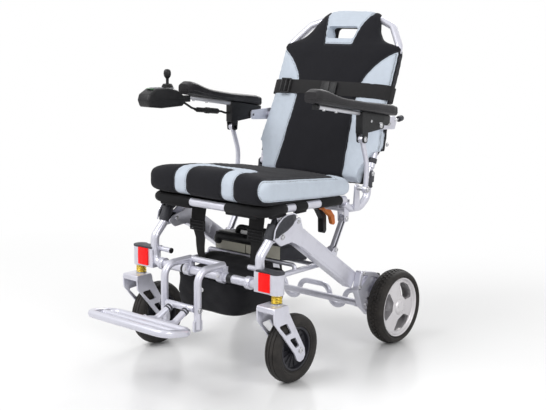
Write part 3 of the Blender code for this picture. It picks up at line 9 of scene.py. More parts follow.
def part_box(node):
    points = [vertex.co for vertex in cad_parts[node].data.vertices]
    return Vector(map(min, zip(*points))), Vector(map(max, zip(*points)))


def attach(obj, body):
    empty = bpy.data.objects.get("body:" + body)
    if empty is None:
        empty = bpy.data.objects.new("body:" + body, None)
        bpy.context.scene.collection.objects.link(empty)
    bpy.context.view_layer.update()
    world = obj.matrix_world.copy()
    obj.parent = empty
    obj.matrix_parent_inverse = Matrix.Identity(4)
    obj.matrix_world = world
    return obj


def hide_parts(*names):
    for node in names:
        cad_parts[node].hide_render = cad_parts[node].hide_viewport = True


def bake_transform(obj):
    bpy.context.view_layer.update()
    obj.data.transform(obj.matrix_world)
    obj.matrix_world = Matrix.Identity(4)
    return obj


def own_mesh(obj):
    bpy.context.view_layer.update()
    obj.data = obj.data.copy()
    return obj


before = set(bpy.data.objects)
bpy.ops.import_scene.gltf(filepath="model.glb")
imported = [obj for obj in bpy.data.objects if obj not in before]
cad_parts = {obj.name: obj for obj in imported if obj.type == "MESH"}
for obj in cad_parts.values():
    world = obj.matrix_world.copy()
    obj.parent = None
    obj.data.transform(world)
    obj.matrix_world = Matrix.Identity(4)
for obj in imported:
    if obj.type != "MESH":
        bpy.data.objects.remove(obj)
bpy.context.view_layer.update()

# Camera, floor and lamps
# The chair stands on a pale studio floor under three soft boxes. Sizes in this file are measured from the
# caster stems, with the chair facing -Y and its left side at +X, and are moved on to the frame at the end.

stem_low, stem_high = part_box("suspension_stem_left")
STEMS = Matrix.Translation((0, (stem_low.y + stem_high.y) / 2, 0))
SIDES = (("left", 1), ("right", -1))

scene = bpy.context.scene
scene.view_settings.view_transform = "Standard"

EYE, LENS = (1.7776, -1.8667, 0.9026), 65.86
PAN, DIP, ROLL = math.radians(39.64), math.radians(10.15), math.radians(0.62)
camera = bpy.data.objects.new("camera", bpy.data.cameras.new("camera"))
camera.data.sensor_width = 36
camera.data.lens = LENS
camera.matrix_world = (
    STEMS
    @ Matrix.Translation(EYE)
    @ Matrix.Rotation(PAN, 4, "Z")
    @ Matrix.Rotation(math.pi / 2 - DIP, 4, "X")
    @ Matrix.Rotation(ROLL, 4, "Z")
)
scene.collection.objects.link(camera)
scene.camera = camera


class Wire:
    """A socket in a material's nodes. Sums written with it in Python add their Math nodes."""

    def __init__(self, tree, socket=None):
        self.tree = tree
        self.socket = socket

    def node(self, kind, settings=None, inputs=None, output=0):
        """Adds a node of this kind, sets it up, and gives its sockets their values or wires."""
        made = self.tree.nodes.new("ShaderNode" + kind)
        for name, value in (settings or {}).items():
            setattr(made, name, value)
        for name, value in (inputs or {}).items():
            if isinstance(value, Wire):
                self.tree.links.new(value.socket, made.inputs[name])
            else:
                made.inputs[name].default_value = value
        return Wire(self.tree, made.outputs[output])

    def maths(self, operation, *values):
        return self.node("Math", {"operation": operation}, dict(enumerate(values)))

    def __add__(self, other):
        return self.maths("ADD", self, other)

    def __sub__(self, other):
        return self.maths("SUBTRACT", self, other)

    def __rsub__(self, other):
        return self.maths("SUBTRACT", other, self)

    def __mul__(self, other):
        return self.maths("MULTIPLY", self, other)

    __radd__ = __add__
    __rmul__ = __mul__

    def clamped(self, low, high):
        """0 where the value is at low, 1 where it is at high, and straight in between."""
        return self.node("MapRange", None, {0: self, 1: low, 2: high, 3: 0.0, 4: 1.0})

    def mix(self, first, second):
        """The first colour where this mask is 0, the second where it is 1."""
        colours = {6: first, 7: second, 0: self}
        return self.node("Mix", {"data_type": "RGBA"}, colours, output=2)

    def axes(self):
        """The X, Y and Z of this place, each as a wire."""
        return [self.node("SeparateXYZ", None, {0: self}, output=axis) for axis in "XYZ"]

    def into(self, socket):
        self.tree.links.new(self.socket, socket)


world = bpy.data.worlds.new("studio")
scene.world = world
world.use_nodes = True
start = Wire(world.node_tree)
seen = start.node("LightPath", output="Is Camera Ray")
for ray in ("Is Glossy Ray", "Is Transmission Ray"):
    seen = seen.maths("MAXIMUM", seen, start.node("LightPath", output=ray))
WORLD_LIGHT = 0.50
background = world.node_tree.nodes["Background"]
background.inputs["Color"].default_value = (1, 1, 1, 1)
(seen * (1 - WORLD_LIGHT) + WORLD_LIGHT).into(background.inputs["Strength"])

for name, spot, aim, size, energy in (
    ("key_lamp", (-0.9, -2.1, 2.9), (0, 0.2, 0.4), 1.8, 70),
    ("side_lamp", (2.9, -0.6, 1.9), (0, 0.2, 0.4), 1.6, 33),
    ("back_lamp", (-0.8, 2.4, 2.2), (0, 0.2, 0.6), 1.4, 30),
):
    lamp = bpy.data.objects.new(name, bpy.data.lights.new(name, "AREA"))
    lamp.data.size = size
    lamp.data.energy = energy
    lamp.location = spot
    lamp.rotation_euler = (Vector(aim) - Vector(spot)).to_track_quat("-Z", "Y").to_euler()
    scene.collection.objects.link(lamp)

FLOOR_HALF, FLOOR_Z = 6.0, -0.0004
floor_mesh = bpy.data.meshes.new("floor")
floor_mesh.from_pydata([(x * FLOOR_HALF, y * FLOOR_HALF, FLOOR_Z) for y in (-1, 1) for x in (-1, 1)],
                       [], [(0, 1, 3, 2)])
floor = bpy.data.objects.new("floor", floor_mesh)
scene.collection.objects.link(floor)
pale = bpy.data.materials.new("pale_floor")
pale.use_nodes = True
floor_mesh.materials.append(pale)
start = Wire(pale.node_tree)
shader = pale.node_tree.nodes["Principled BSDF"]
shader.inputs["Base Color"].default_value = (0.89, 0.89, 0.89, 1)
shader.inputs["Roughness"].default_value = 0.22
shader.inputs["Specular IOR Level"].default_value = 0.35
away = start.node("VectorMath", {"operation": "LENGTH"},
                  {0: start.node("TexCoord", output="Object")}, output="Value")
white = start.node("Emission", None, {"Strength": 1.0})
fade = away.clamped(0.55, 1.9) * start.node("LightPath", output="Is Camera Ray")
shown = start.node("MixShader", None, {0: fade, 1: Wire(pale.node_tree, shader.outputs[0]), 2: white})
shown.into(pale.node_tree.nodes["Material Output"].inputs["Surface"])

# Rear arms
# Two box-section arms in silver paint run from the knee to the rear wheels. Each is welded to a pair of
# cheek plates that hold the knee bolt, and carries two ears for the link that levels the seat.

ARM_X = 0.190
ARM_INNER, ARM_OUTER = ARM_X - 0.015, ARM_X + 0.015
CHEEK = 0.004
KNEE = (0.066, 0.374)
LINK_FOOT = (0.308, 0.300)
ARM_FRONT, ARM_REAR = Vector((0.144, 0.364)), Vector((0.396, 0.196))


def finish(name, colour, roughness, metallic=0.0, **fixed):
    """A new material, its shader, and a wire that holds the place on the piece."""
    made = bpy.data.materials.new(name)
    made.use_nodes = True
    shader = made.node_tree.nodes["Principled BSDF"]
    shader.inputs["Base Color"].default_value = (*colour, 1)
    shader.inputs["Roughness"].default_value = roughness
    shader.inputs["Metallic"].default_value = metallic
    for socket, value in fixed.items():
        shader.inputs[socket.replace("_", " ")].default_value = value
    made.diffuse_color = (*colour, 1)
    return made, shader, Wire(made.node_tree).node("TexCoord", output="Object")


def noise(place_, scale, detail=2.0, roughness=0.5):
    return place_.node("TexNoise", None, {"Vector": place_, "Scale": scale, "Detail": detail,
                                          "Roughness": roughness}, output=0)


def bump(height, shader, distance, strength=1.0):
    """Gives the shader the relief of this height, as deep as the distance in metres."""
    height.node("Bump", None, {"Height": height, "Distance": distance, "Strength": strength}).into(
        shader.inputs["Normal"])


def worn_paint(name, colour, dull, roughness, metallic):
    """Sprayed metallic paint: fine flake, faint orange peel and a little dust in patches."""
    made, shader, spot = finish(name, colour, roughness, metallic, Coat_Weight=0.35, Coat_Roughness=0.12)
    flake = noise(spot, 2600, 1.0)
    dust = noise(spot, 19, 5.0, 0.6).clamped(0.50, 0.72)
    shade = dust * 0.55 + flake.clamped(0.35, 0.75) * 0.25
    shade.mix((*colour, 1), (*dull, 1)).into(shader.inputs["Base Color"])
    (roughness - 0.04 + dust * 0.16 + flake * 0.06).into(shader.inputs["Roughness"])
    bump(noise(spot, 420, 2.0) + flake * 0.3, shader, 0.00006)
    return made


SILVER = worn_paint("silver_paint", (0.66, 0.66, 0.74), (0.53, 0.53, 0.59), 0.30, 0.45)


def bent(route, radius, step=math.radians(9), closed=False):
    """The route with an arc of this radius at each corner."""
    route = [Vector(point) for point in route]
    points = []
    for index, corner in enumerate(route):
        if not closed and index in (0, len(route) - 1):
            points.append(corner)
            continue
        back = route[index - 1] - corner
        ahead = route[(index + 1) % len(route)] - corner
        half = back.angle(ahead) / 2
        if half > math.pi / 2 - 1e-4:
            points.append(corner)
            continue
        reach = min(radius / math.tan(half), 0.49 * back.length, 0.49 * ahead.length)
        arc_radius = reach * math.tan(half)
        centre = corner + (back.normalized() + ahead.normalized()).normalized() * arc_radius / math.sin(half)
        spoke = corner + back.normalized() * reach - centre
        turn_axis = spoke.cross(corner + ahead.normalized() * reach - centre)
        steps = max(1, round((math.pi - 2 * half) / step))
        for number in range(steps + 1):
            turn = Matrix.Rotation((math.pi - 2 * half) * number / steps, 3, turn_axis)
            points.append(centre + turn @ spoke)
    return points


WELD = 1e-6


def outward(work):
    """The finished mesh of a bmesh, welded and with its faces turned outwards."""
    bmesh.ops.remove_doubles(work, verts=work.verts, dist=WELD)
    bmesh.ops.recalc_face_normals(work, faces=work.faces)
    mesh = bpy.data.meshes.new("shape")
    work.to_mesh(mesh)
    work.free()
    return mesh


def tube(route, radius, bend=0.0, sides=18, closed=False, bead=0.0):
    """A round tube along the route, its open ends closed by a small round edge."""
    points = bent(route, bend, closed=closed) if bend else [Vector(point) for point in route]
    curve = bpy.data.curves.new("tube", "CURVE")
    curve.dimensions = "3D"
    curve.bevel_depth = radius
    curve.bevel_resolution = (sides - 4) // 2
    curve.use_fill_caps = not closed
    if bead and not closed:
        first = (points[0] - points[1]).normalized()
        last = (points[-1] - points[-2]).normalized()
        inner_ends = [points[0] - first * bead, points[-1] - last * bead]
        points = [points[0], inner_ends[0]] + points[1:-1] + [inner_ends[1], points[-1]]
    spline = curve.splines.new("POLY")
    spline.points.add(len(points) - 1)
    spline.use_cyclic_u = closed
    for index, (spot, point) in enumerate(zip(spline.points, points)):
        spot.co = (*point, 1)
        spot.radius = 1 - bead / radius if bead and not closed and index in (0, len(points) - 1) else 1
    holder = bpy.data.objects.new("tube", curve)
    mesh = bpy.data.meshes.new_from_object(holder)
    bpy.data.objects.remove(holder)
    work = bmesh.new()
    work.from_mesh(mesh)
    return outward(work)


def eased(work, axis, bevel, segments=2):
    """Rounds the edges of a bmesh that lie square to this axis."""
    if bevel:
        rims = [edge for edge in work.edges if abs(edge.verts[0].co[axis] - edge.verts[1].co[axis]) < WELD]
        bmesh.ops.bevel(work, geom=rims, offset=bevel, segments=segments, affect="EDGES", profile=0.6)


def plate(outline, low_x, high_x, rounding=0.0, bevel=0.0, segments=2):
    """A side-view outline cut from sheet between two distances from the middle, with eased edges."""
    corners = [Vector((low_x, spot[0], spot[1])) for spot in outline]
    if rounding:
        corners = bent(corners, rounding, math.radians(18), closed=True)
    work = bmesh.new()
    face = work.faces.new([work.verts.new(corner) for corner in corners])
    sweep = bmesh.ops.extrude_face_region(work, geom=[face])
    moved = [item for item in sweep["geom"] if isinstance(item, bmesh.types.BMVert)]
    bmesh.ops.translate(work, verts=moved, vec=(high_x - low_x, 0, 0))
    eased(work, 0, bevel, segments)
    return outward(work)


def rod(start_, end, radius, sides=20, bevel=0.0):
    """A straight round bar with eased ends."""
    start_, end = Vector(start_), Vector(end)
    work = bmesh.new()
    bmesh.ops.create_cone(work, cap_ends=True, segments=sides, radius1=radius, radius2=radius,
                          depth=(end - start_).length)
    eased(work, 2, bevel)
    turn = (end - start_).to_track_quat("Z", "Y").to_matrix().to_4x4()
    work.transform(Matrix.Translation((start_ + end) / 2) @ turn)
    return outward(work)


def across(spot, low_x, high_x, radius, sides=20, bevel=0.0):
    """A round bar that runs across the chair at a side-view point."""
    return rod((low_x, *spot), (high_x, *spot), radius, sides, bevel)


def joined(*meshes):
    """One mesh of several that touch or cross."""
    work = bmesh.new()
    for mesh in meshes:
        work.from_mesh(mesh)
    made = bpy.data.meshes.new("shape")
    work.to_mesh(made)
    work.free()
    return made


def carved(mesh, *cutters):
    """The mesh with the cutters taken out of it."""
    holder = bpy.data.objects.new("work", mesh)
    scene.collection.objects.link(holder)
    tools = []
    for cutter in cutters:
        tool = bpy.data.objects.new("tool", cutter)
        scene.collection.objects.link(tool)
        tools.append(tool)
        boolean = holder.modifiers.new("Boolean", "BOOLEAN")
        boolean.operation = "DIFFERENCE"
        boolean.solver = "EXACT"
        boolean.object = tool
    made = bpy.data.meshes.new_from_object(holder.evaluated_get(bpy.context.evaluated_depsgraph_get()))
    for item in [holder] + tools:
        bpy.data.objects.remove(item)
    return made


def around(middle, half):
    """The two ends of a stretch, from its middle and half its length."""
    return middle - half, middle + half


def span(hand, near, far):
    """Two distances from the middle on the side of this hand, the lower one first."""
    return sorted((hand * near, hand * far))


def oblong(near, far, low, high):
    """The outline of an upright oblong in the side view."""
    return (near, low), (far, low), (far, high), (near, high)


def strip(start_, end, half):
    """The outline of a straight bar in the side view, from half its width as a vector."""
    return start_ - half, start_ + half, end + half, end - half


def whole(half):
    """A route across the chair, from its half on one side."""
    return half + [Vector((-p.x, p.y, p.z)) for p in reversed(half)]


def mirrored(mesh):
    """The mesh's twin on the chair's other side."""
    twin = mesh.copy()
    twin.transform(Matrix.Scale(-1, 4, (1, 0, 0)))
    twin.flip_normals()
    return twin


def fit(name, body, material, mesh, stands_for=(), sharp=35):
    """Puts a finished piece on the chair: it rides on its body and may stand for CAD nodes."""
    mesh.transform(STEMS)
    mesh.name = name
    mesh.materials.clear()
    mesh.materials.append(material)
    mesh.shade_smooth()
    mesh.set_sharp_from_angle(angle=math.radians(sharp))
    made = bpy.data.objects.new(name, mesh)
    scene.collection.objects.link(made)
    if body:
        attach(made, body)
    if stands_for:
        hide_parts(*stands_for)
    return made


def fit_pair(name, body, material, mesh, stands_for=None, sharp=35):
    """The left piece and its mirror image on the right. A body whose name ends in _ has one for each side."""
    made = []
    for (side, _), shape in zip(SIDES, (mesh, mirrored(mesh))):
        carrier = body + side if body.endswith("_") else body
        nodes = [stands_for + "_" + side] if stands_for else []
        made.append(fit(name + "_" + side, carrier, material, shape, nodes, sharp))
    return made


def bolt(spot, low_x, high_x, radius):
    """A domed bolt head on a washer, which faces outwards at high_x, with a hexagon socket."""
    direction = 1 if high_x > low_x else -1
    turn = Matrix.Rotation(math.pi / 2, 4, "Y")
    depth = abs(high_x - low_x)
    profile = [(0, 0), (radius * 1.35, 0), (radius * 1.35, depth * 0.2), (radius, depth * 0.22),
               (radius, depth * 0.75), (radius * 0.86, depth), (radius * 0.52, depth),
               (radius * 0.48, depth * 0.55), (0, depth * 0.5)]
    work = bmesh.new()
    points = [work.verts.new((r, 0, along * direction)) for r, along in profile]
    edges = [work.edges.new(pair) for pair in zip(points, points[1:])]
    bmesh.ops.spin(work, geom=points + edges, cent=(0, 0, 0), axis=(0, 0, 1), angle=2 * math.pi, steps=18,
                   use_merge=True)
    work.transform(Matrix.Translation((low_x, *spot)) @ turn)
    return outward(work)


along = (ARM_REAR - ARM_FRONT).normalized()
square = Vector((-along.y, along.x)) * 0.024
bar = plate(strip(ARM_FRONT, ARM_REAR, -square), ARM_INNER, ARM_OUTER, 0.005, 0.0035, segments=3)
grooves = []
for share in (0.70, -0.70):
    near, far = ARM_FRONT + along * 0.05 + square * share, ARM_REAR - along * 0.014 + square * share
    lip = square.normalized() * 0.0009
    grooves.append(plate(strip(near, far, lip), ARM_OUTER - 0.0008, ARM_OUTER + 0.01))
bar = carved(bar, *grooves)
cheek_outline = (
    (0.034, 0.370), (0.060, 0.3505), (0.106, 0.3545), (0.150, 0.334), (0.196, 0.303),
    (0.212, 0.340), (0.150, 0.386), (0.140, 0.416), (0.126, 0.414), (0.092, 0.391), (0.057, 0.385),
)
outer_cheek = plate(cheek_outline, ARM_OUTER - 0.0005, ARM_OUTER + CHEEK, 0.006, 0.0012)
inner_cheek = plate(cheek_outline, ARM_INNER - CHEEK, ARM_INNER + 0.0005, 0.006, 0.0012)
foot = Vector(LINK_FOOT)
half_ear = Vector((along.x, along.y)) * 0.016
head = foot - square * 2.2
ear = [head - half_ear * 1.4, head + half_ear * 1.4, foot + half_ear * 0.7 - square * 0.1,
       foot + square * 0.45, foot - half_ear * 0.7 - square * 0.1]
ears = [plate(ear, ARM_X + side * 0.010 - 0.002, ARM_X + side * 0.010 + 0.002, 0.004, 0.0006)
        for side in (-1, 1)]
knee_bar = across(KNEE, ARM_INNER - CHEEK - 0.002, ARM_OUTER, 0.006)
link_bar = across(LINK_FOOT, *around(ARM_X, 0.013), 0.005)
arm = joined(bar, outer_cheek, inner_cheek, knee_bar, *ears, link_bar)
fit_pair("rear_arm", "rear_frame", SILVER, arm, "rear_arm")

STEEL = worn_paint("zinc_steel", (0.62, 0.62, 0.64), (0.42, 0.42, 0.43), 0.28, 0.9)
knee_bolts = joined(
    bolt(KNEE, ARM_OUTER + CHEEK, ARM_OUTER + CHEEK + 0.005, 0.0062),
    bolt((0.131, 0.4045), ARM_OUTER + CHEEK, ARM_OUTER + CHEEK + 0.004, 0.0045),
    bolt(LINK_FOOT, ARM_X + 0.012, ARM_X + 0.0165, 0.0058),
    bolt(KNEE, ARM_INNER - CHEEK, ARM_INNER - CHEEK - 0.004, 0.0055),
)
fit_pair("knee_bolts", "rear_frame", STEEL, knee_bolts)

# Knee covers
# A dark ribbed moulding closes the knee above each cheek plate. A silver bead along its upper edge is a
# painted highlight on the rim, and it is clipped on, so no screw shows.


def moulded(name, colour, lighter, roughness, grain=900):
    """Injection-moulded plastic with a fine spark-eroded grain and rubbed, lighter patches."""
    made, shader, spot = finish(name, colour, roughness, Specular_IOR_Level=0.28)
    rubbed = noise(spot, 26, 4.0, 0.6).clamped(0.48, 0.78)
    speck = noise(spot, grain, 2.0)
    (rubbed * 0.5 + speck * 0.25).mix((*colour, 1), (*lighter, 1)).into(shader.inputs["Base Color"])
    (roughness + rubbed * 0.12 - speck * 0.08).into(shader.inputs["Roughness"])
    bump(speck + noise(spot, grain * 2.7, 1.0) * 0.5, shader, 0.00022)
    return made


DARK = moulded("dark_moulding", (0.040, 0.041, 0.049), (0.085, 0.087, 0.098), 0.48)
BLACK = moulded("black_plastic", (0.008, 0.008, 0.009), (0.026, 0.026, 0.029), 0.40)
RIM_GREY = moulded("rim_moulding", (0.30, 0.30, 0.33), (0.40, 0.40, 0.43), 0.42)

cover_low = ARM_OUTER + 0.0003
cover_face = cover_low + CHEEK
panel_outline = ((0.031, 0.374), (0.036, 0.395), (0.047, 0.4095), (0.065, 0.4225), (0.084, 0.4285),
                 (0.112, 0.4285), (0.122, 0.4205), (0.088, 0.3945), (0.0575, 0.3870), (0.045, 0.3790))
shell = plate(panel_outline, cover_low, cover_face + 0.001, 0.004, 0.0008)
lip = plate(((0.0345, 0.3755), (0.0440, 0.402), (0.080, 0.4255), (0.112, 0.4265), (0.1205, 0.4195),
             (0.106, 0.4000), (0.084, 0.3885), (0.058, 0.3805), (0.046, 0.3745)),
            cover_face, cover_face + 0.0022, 0.004, 0.0009)
ribs = []
RIBS = 15
for number in range(RIBS):
    share = 0.04 + 0.92 * number / (RIBS - 1)
    foot = Vector((0.044, 0.378)).lerp(Vector((0.112, 0.4060)), share)
    tip = Vector((0.0390, 0.394)).lerp(Vector((0.1050, 0.4245)), share)
    tip += Vector((-0.002, 0.006)) * math.sin(math.pi * share)
    side = Vector((0.0009, -0.0004))
    ribs.append(plate(strip(foot, tip, side), cover_face + 0.0015, cover_face + 0.0031, 0, 0.0003))
fit_pair("knee_cover", "rear_frame", DARK, joined(shell, lip, *ribs), "knee_cover")
# The silver bead along the upper edge is a painted highlight where the moulding's rim catches the light.
edge = [Vector((cover_face + 0.0012, *spot)) for spot in
        ((0.030, 0.371), (0.0350, 0.395), (0.0463, 0.4103), (0.0645, 0.4235), (0.084, 0.4295),
         (0.112, 0.4295), (0.124, 0.4203))]
fit_pair("knee_cover_highlight", "rear_frame", SILVER, tube(edge, 0.0019, 0.012, 8, bead=0.0008))

# Motor brackets
# A cast side plate with three pockets is bolted to each arm's rear end. It carries the axle of the hub
# motor and the ends of the two lower tubes.

AXLE = (0.516, 0.108)
REAR_CROSS = (0.424, 0.124)
AXLE_R = 0.009
BRACKET_LOW, BRACKET_HIGH = ARM_OUTER + 0.0003, ARM_OUTER + 0.0203
CAST = worn_paint("cast_aluminium", (0.60, 0.60, 0.65), (0.45, 0.45, 0.49), 0.42, 0.6)

axle = Vector(AXLE)
nose = [axle + Vector((0.031 * math.cos(turn), 0.031 * math.sin(turn)))
        for turn in (0.5, 0.25, 0.0, -0.25, -0.5, -0.75, -1.0, -1.3, -1.6)]
cross = Vector(REAR_CROSS)
bracket_outline = [Vector(p) for p in ((0.385, 0.171), (0.402, 0.226), (0.473, 0.210), (0.516, 0.181))]
bracket_outline += nose + [Vector((0.475, 0.075)), Vector((0.446, 0.088))]
bracket_outline += [cross + Vector((-0.002, -0.015)), cross + Vector((-0.015, -0.003))]
casting = plate(bracket_outline, BRACKET_LOW, BRACKET_HIGH, 0.005, 0.0022, segments=3)
pockets = [plate(shape, BRACKET_HIGH - 0.009, BRACKET_HIGH + 0.01, 0.004) for shape in (
    ((0.400, 0.178), (0.410, 0.214), (0.440, 0.206)),
    ((0.416, 0.168), (0.455, 0.202), (0.490, 0.190), (0.470, 0.150)),
    ((0.428, 0.146), (0.466, 0.140), (0.480, 0.098), (0.452, 0.102)),
)]
casting = carved(casting, across(AXLE, BRACKET_LOW - 0.01, BRACKET_HIGH + 0.01, AXLE_R), *pockets)
fit_pair("motor_bracket", "rear_frame", SILVER, casting, "motor_bracket")
bracket_bolts = joined(*[
    bolt(spot, BRACKET_HIGH, BRACKET_HIGH + 0.0045, 0.0048)
    for spot in ((0.412, 0.2175), (0.393, 0.180), (0.424, 0.124), (0.500, 0.178))
])
fit_pair("bracket_bolts", "rear_frame", STEEL, bracket_bolts)

# Hub motors
# Each rear wheel turns on a hub motor, whose fixed drum shows between the bracket and the wheel. Cooling
# fins run round the drum, a black disc on its wheel side is painted shade that darkens the wheel's windows,
# and a nut holds the axle on the inside.


def turned(profile, centre, axis="X", sides=48):
    """A profile of (radius, distance along the axis), turned about an axis through the centre."""
    work = bmesh.new()
    points = [work.verts.new((radius, 0, along_)) for radius, along_ in profile]
    edges = [work.edges.new(pair) for pair in zip(points, points[1:] + points[:1])]
    bmesh.ops.spin(work, geom=points + edges, cent=(0, 0, 0), axis=(0, 0, 1), angle=2 * math.pi,
                   steps=sides, use_merge=True)
    bmesh.ops.remove_doubles(work, verts=work.verts, dist=WELD)
    bmesh.ops.delete(work, geom=[edge for edge in work.edges if not edge.link_faces], context="EDGES")
    if axis == "X":
        work.transform(Matrix.Rotation(math.pi / 2, 4, "Y"))
    work.transform(Matrix.Translation(centre))
    return outward(work)


drum_face = BRACKET_HIGH + 0.0003
AXLE_END = 0.283
FINS, FIN_PITCH = 3, 0.0014
drum_profile = [(0.004, 0), (0.066, 0), (0.069, 0.0006), (0.0745, 0.0009)]
for number in range(FINS):
    drum_profile += [(radius, start_ + number * FIN_PITCH)
                     for radius, start_ in ((0.078, 0.0012), (0.078, 0.0018), (0.0755, 0.0020))]
drum_profile += [(0.0745, 0.0056), (0.069, 0.0060), (0.004, 0.0060)]
drum = joined(
    turned(drum_profile, (drum_face, *AXLE), sides=64),
    across(AXLE, ARM_OUTER - 0.008, AXLE_END, AXLE_R - 0.0002, bevel=0.001),
    across(AXLE, ARM_OUTER - 0.009, ARM_OUTER - 0.0005, 0.0148, 6, bevel=0.0008),
    across(AXLE, ARM_OUTER - 0.0015, ARM_OUTER, 0.0165),
)
fit_pair("hub_motor", "rear_frame", CAST, drum, "hub_motor")
# A black disc on the drum's wheel side, as painted shade: it makes the wheel's windows look dark.
shade_disc = turned([(0.0100, 0), (0.0735, 0), (0.0735, 0.0008), (0.0100, 0.0008)],
               (drum_face + 0.0062, *AXLE), sides=64)
fit_pair("motor_shade_disc", "rear_frame", BLACK, shade_disc)

# Lower cross tube and stand tube
# A straight tube ties the two brackets together. Behind it a second tube dips twice to make low feet, and
# a flat gusset joins the two near each bracket.

STAND = (0.482, 0.140)
FOOT_Z = 0.085
BOW_X, BOW_HALF = 0.085, 0.022
end_x = ARM_OUTER
route = [(-end_x, *STAND)]
for hand in (-1, 1):
    bow = [(BOW_X + BOW_HALF * 1.5, STAND[1]), (BOW_X + BOW_HALF, FOOT_Z),
           (BOW_X - BOW_HALF, FOOT_Z), (BOW_X - BOW_HALF * 1.5, STAND[1])]
    route += [(hand * x, STAND[0], z) for x, z in (bow if hand < 0 else bow[::-1])]
route.append((end_x, *STAND))
gussets = []
for hand in (-1, 1):
    side = hand * (end_x - 0.010)
    rise = Vector((0, 0.006))
    front, rear = Vector(REAR_CROSS), Vector(STAND)
    gussets.append(plate(strip(front, rear, rise), *around(side, 0.002), 0, 0.0006))
    gussets.append(across(REAR_CROSS, *around(side, 0.0045), 0.0112))
lower_tubes = joined(across(REAR_CROSS, -end_x, end_x, 0.0098, 24), tube(route, 0.0082, 0.030), *gussets)
fit("lower_tubes", "rear_frame", SILVER, lower_tubes, ["rear_cross_tube"])

# Brake release levers
# A small black lever on the inside of each bracket frees the hub motor, so that the chair can be pushed.

FREEWHEEL = Vector((0.512, 0.158))
tip = FREEWHEEL + Vector((0.010, 0.030))
side = Vector((0.0055, -0.0017))
lever = joined(
    across(FREEWHEEL, ARM_OUTER - 0.009, ARM_OUTER - 0.0002, 0.008, bevel=0.0012),
    plate((FREEWHEEL - side, FREEWHEEL + side, tip + side * 0.8, tip - side * 0.8), ARM_OUTER - 0.009,
          ARM_OUTER - 0.004, 0.003, 0.001),
    rod((ARM_OUTER - 0.0105, *tip), (ARM_OUTER - 0.0005, *tip), 0.007, bevel=0.0025),
)
fit_pair("freewheel_lever", "freewheel_", BLACK, lever, "freewheel_lever")

# Rear wheels
# Each is an 8.5 inch tyre with a fine chevron tread on a three-spoke cast wheel. A fine lip runs round
# each window, and a cap with five screws closes the hub.

REAR_X = 0.262
RIM_R = 0.086


def rubber(name, colour, dusty, roughness):
    made, shader, spot = finish(name, colour, roughness, Specular_IOR_Level=0.25)
    dust = noise(spot, 34, 5.0, 0.65).clamped(0.42, 0.74)
    (dust * 0.8).mix((*colour, 1), (*dusty, 1)).into(shader.inputs["Base Color"])
    (roughness - 0.08 + dust * 0.16).into(shader.inputs["Roughness"])
    bump(noise(spot, 1500, 2.0), shader, 0.0002)
    return made


TYRE = rubber("tyre_rubber", (0.018, 0.016, 0.015), (0.046, 0.041, 0.037), 0.62)
inner = RIM_R + 0.0004
tyre_profile = [(inner, -0.0205), (inner, 0.0205), (0.0882, 0.0236), (0.0892, 0.0231), (0.0904, 0.0252),
                (0.0926, 0.0274), (0.0950, 0.0281), (0.0982, 0.0268), (0.1014, 0.0236), (0.1040, 0.0185),
                (0.1052, 0.0120), (0.1058, 0.0040)]
tyre_profile += [(radius, -along_) for radius, along_ in tyre_profile[:1:-1]]
lugs = bmesh.new()
ROWS, LUGS = 5, 54
LANE, LANES_HALF = 0.0088, 0.0176
TREAD_R, TREAD_DROP, LUG_SIZE = 0.1066, 0.0044, (0.0072, 0.0084, 0.0028)
for row in range(ROWS):
    lane = (row - (ROWS - 1) / 2) * LANE
    drop = TREAD_DROP * abs(lane / LANES_HALF) ** 2.2
    for number in range(LUGS):
        angle = 2 * math.pi * (number + 0.42 * abs(row - (ROWS - 1) / 2)) / LUGS
        base = Matrix.Rotation(angle, 4, "X") @ Matrix.Translation((lane, 0, TREAD_R - drop))
        tilt = Matrix.Rotation(math.radians(24) * (0 if not lane else math.copysign(1, lane)), 4, "Z")
        roll_ = Matrix.Rotation(math.radians(26) * (lane / LANES_HALF), 4, "Y")
        size = Matrix.Diagonal((*LUG_SIZE, 1))
        bmesh.ops.create_cube(lugs, size=1, matrix=base @ roll_ @ tilt @ size)
lugs.transform(Matrix.Translation((REAR_X, *AXLE)))
tyre_mesh = joined(turned(tyre_profile, (REAR_X, *AXLE), sides=96), outward(lugs))
fit_pair("rear_tyre", "rear_wheel_", TYRE, tyre_mesh, "rear_tyre", sharp=32)

wheel_profile = (
    (0.0093, -0.023), (0.028, -0.023), (0.064, 0.004), (0.0778, 0.005), (0.0786, -0.0205),
    (0.0850, -0.0212), (RIM_R, -0.0200), (RIM_R, 0.0208), (0.0856, 0.0228), (0.0842, 0.0234),
    (0.0822, 0.0226), (0.0806, 0.0200), (0.0792, 0.0170), (0.0772, 0.0150), (0.0450, 0.0166),
    (0.0300, 0.0192), (0.0265, 0.0200), (0.0093, 0.0200),
)
casting = turned(wheel_profile, (REAR_X, *AXLE), sides=96)
windows, window_lips = [], []
WINDOWS, WINDOW_CORNER = 3, 0.007
for number in range(WINDOWS):
    turn_ = Matrix.Rotation(math.radians(50 + 360 / WINDOWS * number), 4, "X")
    spin = Matrix.Translation((0, *AXLE)) @ turn_
    shape = [(radius * math.cos(math.radians(turn)), radius * math.sin(math.radians(turn)))
             for radius, turn in ((0.0345, -25), (0.0720, -38), (0.0748, -20), (0.0756, 0), (0.0748, 20),
                                  (0.0720, 38), (0.0345, 25))]
    cutter = plate(shape, *around(REAR_X, 0.03), WINDOW_CORNER)
    cutter.transform(spin)
    windows.append(cutter)
    ring = bent([(REAR_X + 0.0160, *spot) for spot in shape], WINDOW_CORNER, closed=True)
    for point in ring:
        reach = math.hypot(point.y, point.z)
        point.x = REAR_X + np.interp(reach, (0.030, 0.045, 0.0772), (0.0192, 0.0166, 0.0150)) - 0.0004
    edge_ring = tube(ring, 0.0016, sides=8, closed=True)
    edge_ring.transform(spin)
    window_lips.append(edge_ring)
